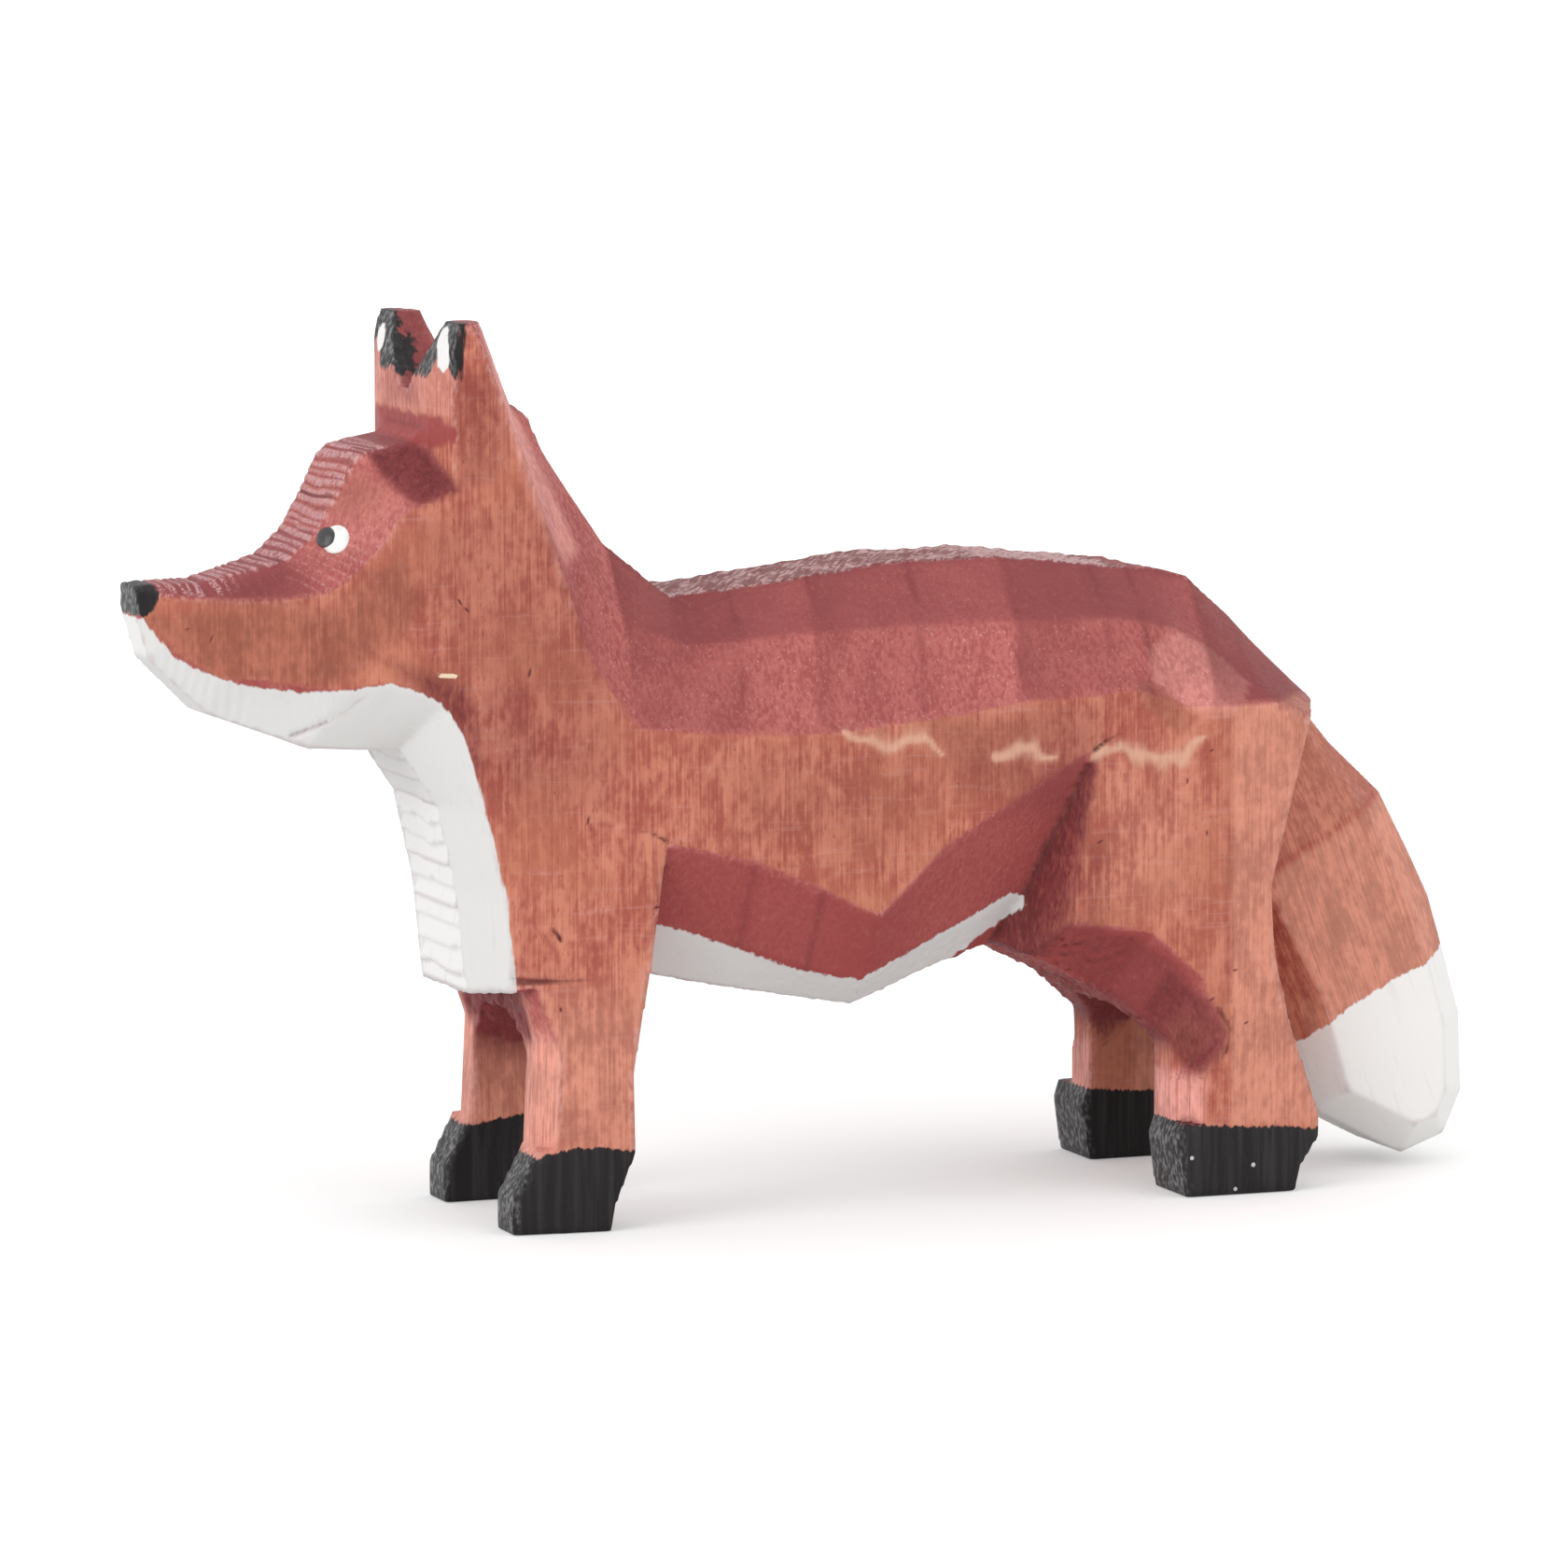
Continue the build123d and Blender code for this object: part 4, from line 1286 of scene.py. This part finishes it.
    def chatter(self) -> np.ndarray:
        """Find the ridges that the blade left over the brow and under the eye.

        Returns:
            A value from -1 in a groove to 1 on a ridge.
        """
        x, _, z = self.points.T
        strip, band = self.brow_bands()
        waves = strip * (1.0 - self.groove.of(np.abs(band - np.round(band))))
        lean = math.radians(self.cheek_lean_deg)
        across = x * math.sin(-lean) + z * math.cos(lean)
        across += self.cheek_wander * self.cheek_cloud.at(self.points)
        away = np.hypot((x - self.cheek_middle[0]) / self.cheek_stretch, z - self.cheek_middle[1])
        cheek = (1.0 - strip) * self.cheek_reach.of(away) * self.part(self.cheek)
        return waves + cheek * np.sin(2 * np.pi * across / self.cheek_pitch)

    def brow_bands(self) -> tuple[np.ndarray, np.ndarray]:
        """Find the strip of uneven bands that the blade left over the brow.

        Returns:
            How far each point belongs to the strip, and its place across the bands, whole in each groove.
        """
        gap, along = line_distance(self.profile, self.head_line)
        sway = np.sin(2.3 * along) + 0.8 * np.sin(3.9 * along + 1.0)
        drift = self.chatter_sway * (0.35 * sway + self.chatter_cloud.at(self.points))
        return self.part(self.brow) * self.brow_reach.of(gap), (along + drift) / self.chatter_pitch

    def white_cover(self) -> np.ndarray:
        """How far inside the white paint each point lies: bib and jaw, belly, and a stroke on each ear."""
        covers = [cover_of(self.profile, outline) for outline in (self.bib_outline, self.belly_outline)]
        return np.max(covers + [rod_cover(self.points, *stroke) for stroke in self.ear_strokes], axis=0)

    def black_cover(self) -> np.ndarray:
        """Find the black paint: nose, feet and ear tips.

        Returns:
            How far inside the paint each point lies.
        """
        outlines = (self.nose_cap, self.fore_foot, self.hind_foot, self.ear_inner, self.ear_side)
        *low, inner, side = (cover_of(self.profile, outline) for outline in outlines)
        half, z = np.abs(self.points[:, 1]), self.points[:, 2]
        arch = self.ear_brush_arch * bell((half - self.ear_brush_middle) / self.ear_brush_spread)
        ear = np.where(half < self.ear_inner_half, inner, side)
        ear = np.where(self.normals[:, 0] < -self.ear_front, z - self.ear_brush_foot - arch, ear)
        return np.where(z > self.ear_foot, self.ear_brush_wetness * ear, np.max(low, axis=0))

    def rubbed_marks(self) -> np.ndarray:
        """Find the wavy lines of the left side where the stain is rubbed off, most in their middles.

        Returns:
            How far the stain is off, from 0 to 1.
        """
        wobble = [cloud.at(self.points) for cloud in self.bare_clouds]
        loose = self.profile + self.bare_wobble * np.array(wobble).T
        raised = loose - (0.0, self.bare_feather / 2)
        marks = np.zeros(len(loose))
        for line in self.bare_marks:
            gap, along = line_distance(loose, line)
            above, _ = line_distance(raised, line)
            middle = np.sin(np.pi * along / along.max())
            width = self.bare_half * (self.bare_end + (1.0 - self.bare_end) * middle)
            feather = self.bare_feather * middle * bell(above / width)
            marks = np.max([marks, bell(gap / width), feather], axis=0)
        return np.where(self.points[:, 1] < 0, marks, 0.0)

    def chip_cover(self) -> np.ndarray:
        """How far inside the small chip of the left side each point lies."""
        cover = np.maximum(cover_of(self.profile, self.chip), UNPAINTED)
        return np.where(self.points[:, 1] < 0, cover, UNPAINTED)

    def cut_cover(self) -> np.ndarray:
        """Find the dark knife cuts and the painted shadow line at the thigh gouge's end.

        Returns:
            How far inside a cut each point lies.
        """
        cover = np.full(len(self.points), UNPAINTED)
        for cut in self.cuts:
            gap, along = line_distance(self.profile, cut.line)
            here = (self.points[:, 1] < 0) | (not cut.left_only)
            cover = np.where(here, np.maximum(cover, cut.half - cut.taper * along - gap), cover)
        return np.where(np.abs(self.normals[:, 1]) > self.cut_side, cover, UNPAINTED)

    def relief(self) -> np.ndarray:
        """Work out the knife and saw marks.

        Returns:
            Their height at each point, along its normal.
        """
        x, y, z = self.points.T
        up = self.normals[:, 2]
        wander = self.hand_cloud.at(self.points)
        height = self.chatter_depth * self.chatter()
        waves = np.sin(2 * np.pi * (x + self.jaw_wander * wander) / self.jaw_pitch)
        height -= self.jaw_depth * self.part(self.jaw) * (0.5 + 0.5 * waves)
        phase = (z + self.bib_wander * wander) / self.bib_pitch
        height -= self.bib_depth * self.part(self.bib) * (phase - np.floor(phase))

        turn = math.radians(self.saw_turn_deg)
        cos, sin = math.cos(turn), math.sin(turn)
        strokes = self.saw_strokes.at(np.column_stack([x * cos - y * sin, x * sin + y * cos, z]))
        height += self.saw_depth * self.part(self.saw_reach) * strokes
        _, share = self.back_facets()
        scoops = self.part(self.back) * self.scoop_end.of(up) * 4.0 * share * (1.0 - share)
        height -= self.scoop_depth * scoops

        under = np.maximum(self.part(self.fuzz), self.part(self.arch))
        under *= np.where(self.white_cover() > 0, self.fuzz_in_paint, 1.0)
        height += self.fuzz_depth * under * self.fuzz_cloud.at(self.points)
        height += self.hand_step.of(np.abs(up)) * wander
        height += self.chip_relief.of(self.chip_cover()) - self.cut_relief.of(self.cut_cover())
        return height * self.part(self.sole)


TAIL_ROOT: Line = (
    (25.0, 17.2), (26.9, 18.2), (31.2, 20.5), (33.7, 21.9), (36.0, 25.0), (30.0, 32.0), (24.0, 26.0),
)


@dataclass
class FoxTail(Carving):
    """The tail: a second stick of wood with its grain along the tail and a white painted tip."""

    cell: float = 0.26
    grain_tilt_deg: float = 20.0
    grain_share: float = 0.7
    under_share: float = 0.5
    hand_depth: float = 0.05
    hand_cloud: Cloud = Cloud((0.3, 0.3, 0.3), 11.0)
    # Painted light: the tail's white and grey white are set brighter than the body's, since the lamps reach the
    # tail less
    white: Colour = (0.92, 0.91, 0.89)
    white_thin_and_shade: Colour = (0.84, 0.83, 0.81)
    tip_outline: Line = (
        (26.0, 5.6), (28.2, 6.7), (29.1, 7.3), (30.0, 8.1), (31.1, 9.1), (32.25, 9.9), (33.7, 10.6),
        (35.2, 11.4), (36.4, 11.9), (38.2, 12.65), (39.5, 13.4), (42.0, 14.6), (42.0, -3.0), (26.0, -3.0),
    )
    patches: tuple[Patch, ...] = (
        Patch(Field.BROWN, 0.25, TAIL_ROOT, 0.12),
        # Painted light on the root, lifting the shade that the body throws on it
        Patch(Field.PALE, 0.4, TAIL_ROOT, 0.12),
        # Paler over the tail's main face: a paler stain, raised further as painted light
        Patch(Field.PALE, 0.95, (
            (26.9, 17.6), (31.2, 20.0), (34.5, 22.0), (41.0, 14.0), (30.0, 8.0), (28.3, 12.0)), 0.3),
    )

    def surface_fields(self) -> dict[Field, np.ndarray]:
        """Work out the values that the finish reads, without the edges.

        Returns:
            A value at each point for each field.
        """
        tilt = math.radians(self.grain_tilt_deg)
        along = np.abs(self.normals[:, 2] * math.cos(tilt) - self.normals[:, 0] * math.sin(tilt))
        count = len(self.points)
        fields = {part: np.zeros(count) for part in Field}
        fields |= {part: np.full(count, UNPAINTED) for part in (Field.BLACK, Field.BARE, Field.CUT)}
        fields[Field.ACROSS] = self.grain_share * along
        fields[Field.UNDER] = self.under_share * np.clip(-self.normals[:, 2], 0.0, 1.0)
        fields[Field.WHITE] = cover_of(self.profile, self.tip_outline)
        return fields | self.patch_fields()

    def relief(self) -> np.ndarray:
        """Height of the knife marks at each point, along its normal."""
        return self.hand_depth * self.hand_cloud.at(self.points)


@dataclass
class Eye:
    """A dotted eye: a white dab with a black pupil towards the nose, laid on the eye facet."""

    side: Side
    white_place: Point2 = (-29.3, 38.97)
    pupil_place: Point2 = (-29.72, 39.05)
    white_radius: float = 0.82
    pupil_radius: float = 0.60
    white_lift: float = 0.13
    pupil_lift: float = 0.10
    sunk_share: float = 0.35
    outside: float = 20.0
    above: float = 2.0
    rings: int = 10
    ring_points: int = 40

    def build(self, body: bpy.types.Object, white: bpy.types.Material, black: bpy.types.Material) -> list[str]:
        """Lay both dabs on the body.

        Args:
            body: The carved body.
            white: Finish of the white dab.
            black: Finish of the pupil.

        Returns:
            The names of the pieces.
        """
        under = [body]
        label = self.side.name.lower()
        dabs = (
            (f"{label}_eye_white", self.white_place, self.white_radius, self.white_lift, white, "white_paint"),
            (f"{label}_eye_pupil", self.pupil_place, self.pupil_radius, self.pupil_lift, black, "black_paint"),
        )
        for name, place, radius, lift, material, slot in dabs:
            skins = [BVHTree.FromObject(piece, bpy.context.evaluated_depsgraph_get()) for piece in under]
            piece = self.dab(skins, name, place, radius, lift)
            under.append(piece)
            piece.data.materials.append(material)
            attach(piece, "root")
        return [dab[0] for dab in dabs]

    def dab(
        self, skins: list[BVHTree], name: str, place: Point2, radius: float, lift: float,
    ) -> bpy.types.Object:
        """Model one dab as a low dome that follows the wood or paint under it.

        Args:
            skins: The faces of the body first, and then of any dab already on it.
            name: Name of the piece.
            place: The dab's middle as x and z.
            radius: The dab's radius.
            lift: Height of the dome over the wood.

        Returns:
            The piece.
        """
        start = Vector((place[0], self.outside * self.side.value, place[1])) * MM
        middle, normal, _, _ = skins[0].ray_cast(start, Vector((0.0, -self.side.value, 0.0)))
        turn = normal.to_track_quat("Z", "Y").to_matrix().to_4x4()
        shape = bmesh.new()
        bmesh.ops.create_uvsphere(
            shape, u_segments=self.ring_points, v_segments=self.rings, radius=radius * MM,
            matrix=Matrix.Translation(middle) @ turn)
        for vert in shape.verts:
            local = turn.inverted() @ (vert.co - middle)
            height = max(local.z / (radius * MM), -self.sunk_share)
            flat = middle + turn @ Vector((local.x, local.y, 0.0))
            hits = [skin.ray_cast(flat + normal * self.above * MM, -normal)[0] for skin in skins]
            foot = max((hit for hit in hits if hit), key=normal.dot, default=flat)
            vert.co = foot + normal * (lift * MM * height)
        bmesh.ops.recalc_face_normals(shape, faces=shape.faces)
        piece = new_object(name, new_mesh(shape, name))
        piece.data.shade_smooth()
        return piece


@dataclass
class Studio:
    """White floor, soft light and the camera at the photograph's angle."""

    azimuth_deg: float = -21.18
    elevation_deg: float = 7.03
    distance_m: float = 0.5
    aim_m: Point3 = (-0.00125, 0.0, 0.02368)
    focal_px: float = 9424.6
    frame_px: float = 1680.0
    sensor_mm: float = 36.0
    near_m: float = 0.01
    floor_half_m: float = 6.0
    floor_grey: float = 0.80
    floor_glow: float = 0.25
    far_glow: float = 0.50
    shadow_reach_m: Step = Step(0.06, 0.24)
    sky_strength: float = 0.80
    lamps: tuple[tuple[str, Point3, float, float], ...] = (
        ("key_light", (-0.80, -0.32, 0.38), 0.5, 2.9),
        ("fill_light", (0.45, -0.80, 0.45), 0.6, 1.2),
        ("top_light", (0.05, 0.0, 0.8), 0.7, 1.0),
    )

    def build(self) -> None:
        """Set the floor, the light and the camera."""
        bpy.context.scene.view_settings.view_transform = "Standard"
        self.lay_floor()
        self.light_sky()
        for lamp in self.lamps:
            self.hang_lamp(*lamp)
        self.set_camera()

    def set_camera(self) -> None:
        """Set the camera at the photograph's angle."""
        lens = bpy.data.cameras.new("camera")
        lens.sensor_width = self.sensor_mm
        lens.lens = self.sensor_mm * self.focal_px / self.frame_px
        lens.clip_start = self.near_m
        camera = new_object("camera", lens)
        turn, rise = math.radians(self.azimuth_deg), math.radians(self.elevation_deg)
        away = Vector((math.sin(turn) * math.cos(rise), -math.cos(turn) * math.cos(rise), math.sin(rise)))
        camera.location = Vector(self.aim_m) + away * self.distance_m
        camera.rotation_euler = (-away).to_track_quat("-Z", "Y").to_euler()
        bpy.context.scene.camera = camera

    def lay_floor(self) -> None:
        """Lay a white floor that keeps the shadow and is white to the camera away from it."""
        shape = bmesh.new()
        bmesh.ops.create_grid(shape, x_segments=1, y_segments=1, size=self.floor_half_m)
        floor = new_object("floor", new_mesh(shape, "floor"))
        material, graph, shader = new_material("white_floor")
        graph.feed(shader["Base Color"], (self.floor_grey,) * 3)
        graph.feed(shader["Roughness"], 1.0)
        graph.feed(shader["Specular IOR Level"], 0.0)
        graph.feed(shader["Emission Color"], (1.0, 1.0, 1.0))
        far = graph.span(graph.measure("LENGTH", graph.object_place()), self.shadow_reach_m)
        glow = graph.blend(far, self.floor_glow, self.far_glow)
        graph.feed(shader["Emission Strength"], graph.times(graph.shown(), glow))
        floor.data.materials.append(material)

    def light_sky(self) -> None:
        """Surround the scene with soft light that the camera sees as white."""
        world = bpy.data.worlds.new("studio")
        world.use_nodes = True
        bpy.context.scene.world = world
        graph = Graph(world.node_tree)
        sky = world.node_tree.nodes["Background"].inputs
        graph.feed(sky["Color"], (1.0, 1.0, 1.0))
        graph.feed(sky["Strength"], graph.blend(graph.shown(), self.sky_strength, 1.0))

    def hang_lamp(self, name: str, place_m: Point3, size_m: float, watts: float) -> None:
        """Hang a square soft lamp that faces the figure.

        Args:
            name: Name of the lamp.
            place_m: Where it hangs.
            size_m: Width of the lamp.
            watts: Its power.
        """
        light = bpy.data.lights.new(name, "AREA")
        light.size = size_m
        light.energy = watts
        lamp = new_object(name, light)
        lamp.location = place_m
        lamp.rotation_euler = (Vector(self.aim_m) - Vector(place_m)).to_track_quat("-Z", "Y").to_euler()


def main() -> None:
    """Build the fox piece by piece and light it."""
    logging.basicConfig(level=logging.INFO, format="%(name)s: %(message)s")
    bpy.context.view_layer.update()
    stain = StainedGrain().build()
    coat = BrushCoat().build()
    body = FoxBody(node="body", name="carved_body", slot="stained_wood")
    tail = FoxTail(node="tail", name="carved_tail", slot="tail_wood")
    body_finish = PaintedCarving("painted_body", ticks=body.ticks, fleck_places=body.fleck_places)
    tail_finish = PaintedCarving(
        "painted_tail", grain_tilt_deg=tail.grain_tilt_deg, white=tail.white, white_thin_and_shade=tail.white_thin_and_shade)
    for carving, finish in ((body, body_finish), (tail, tail_finish)):
        piece = carving.build()
        carving.dress(finish.build(stain, coat))
        piece.data.calc_loop_triangles()
        log.info("%s with %d triangles", piece.name, len(piece.data.loop_triangles))
    eye_white, eye_black = EYE_WHITE.build(), EYE_BLACK.build()
    for side in Side:
        log.info("eye pieces %s", Eye(side).build(body.piece, eye_white, eye_black))
    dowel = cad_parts["tail_dowel"]
    dowel.data.materials.clear()
    dowel.data.materials.append(BARE_DOWEL.build())
    log.info("%s gets bare wood", dowel.name)
    Studio().build()


if __name__ == "__main__":
    main()
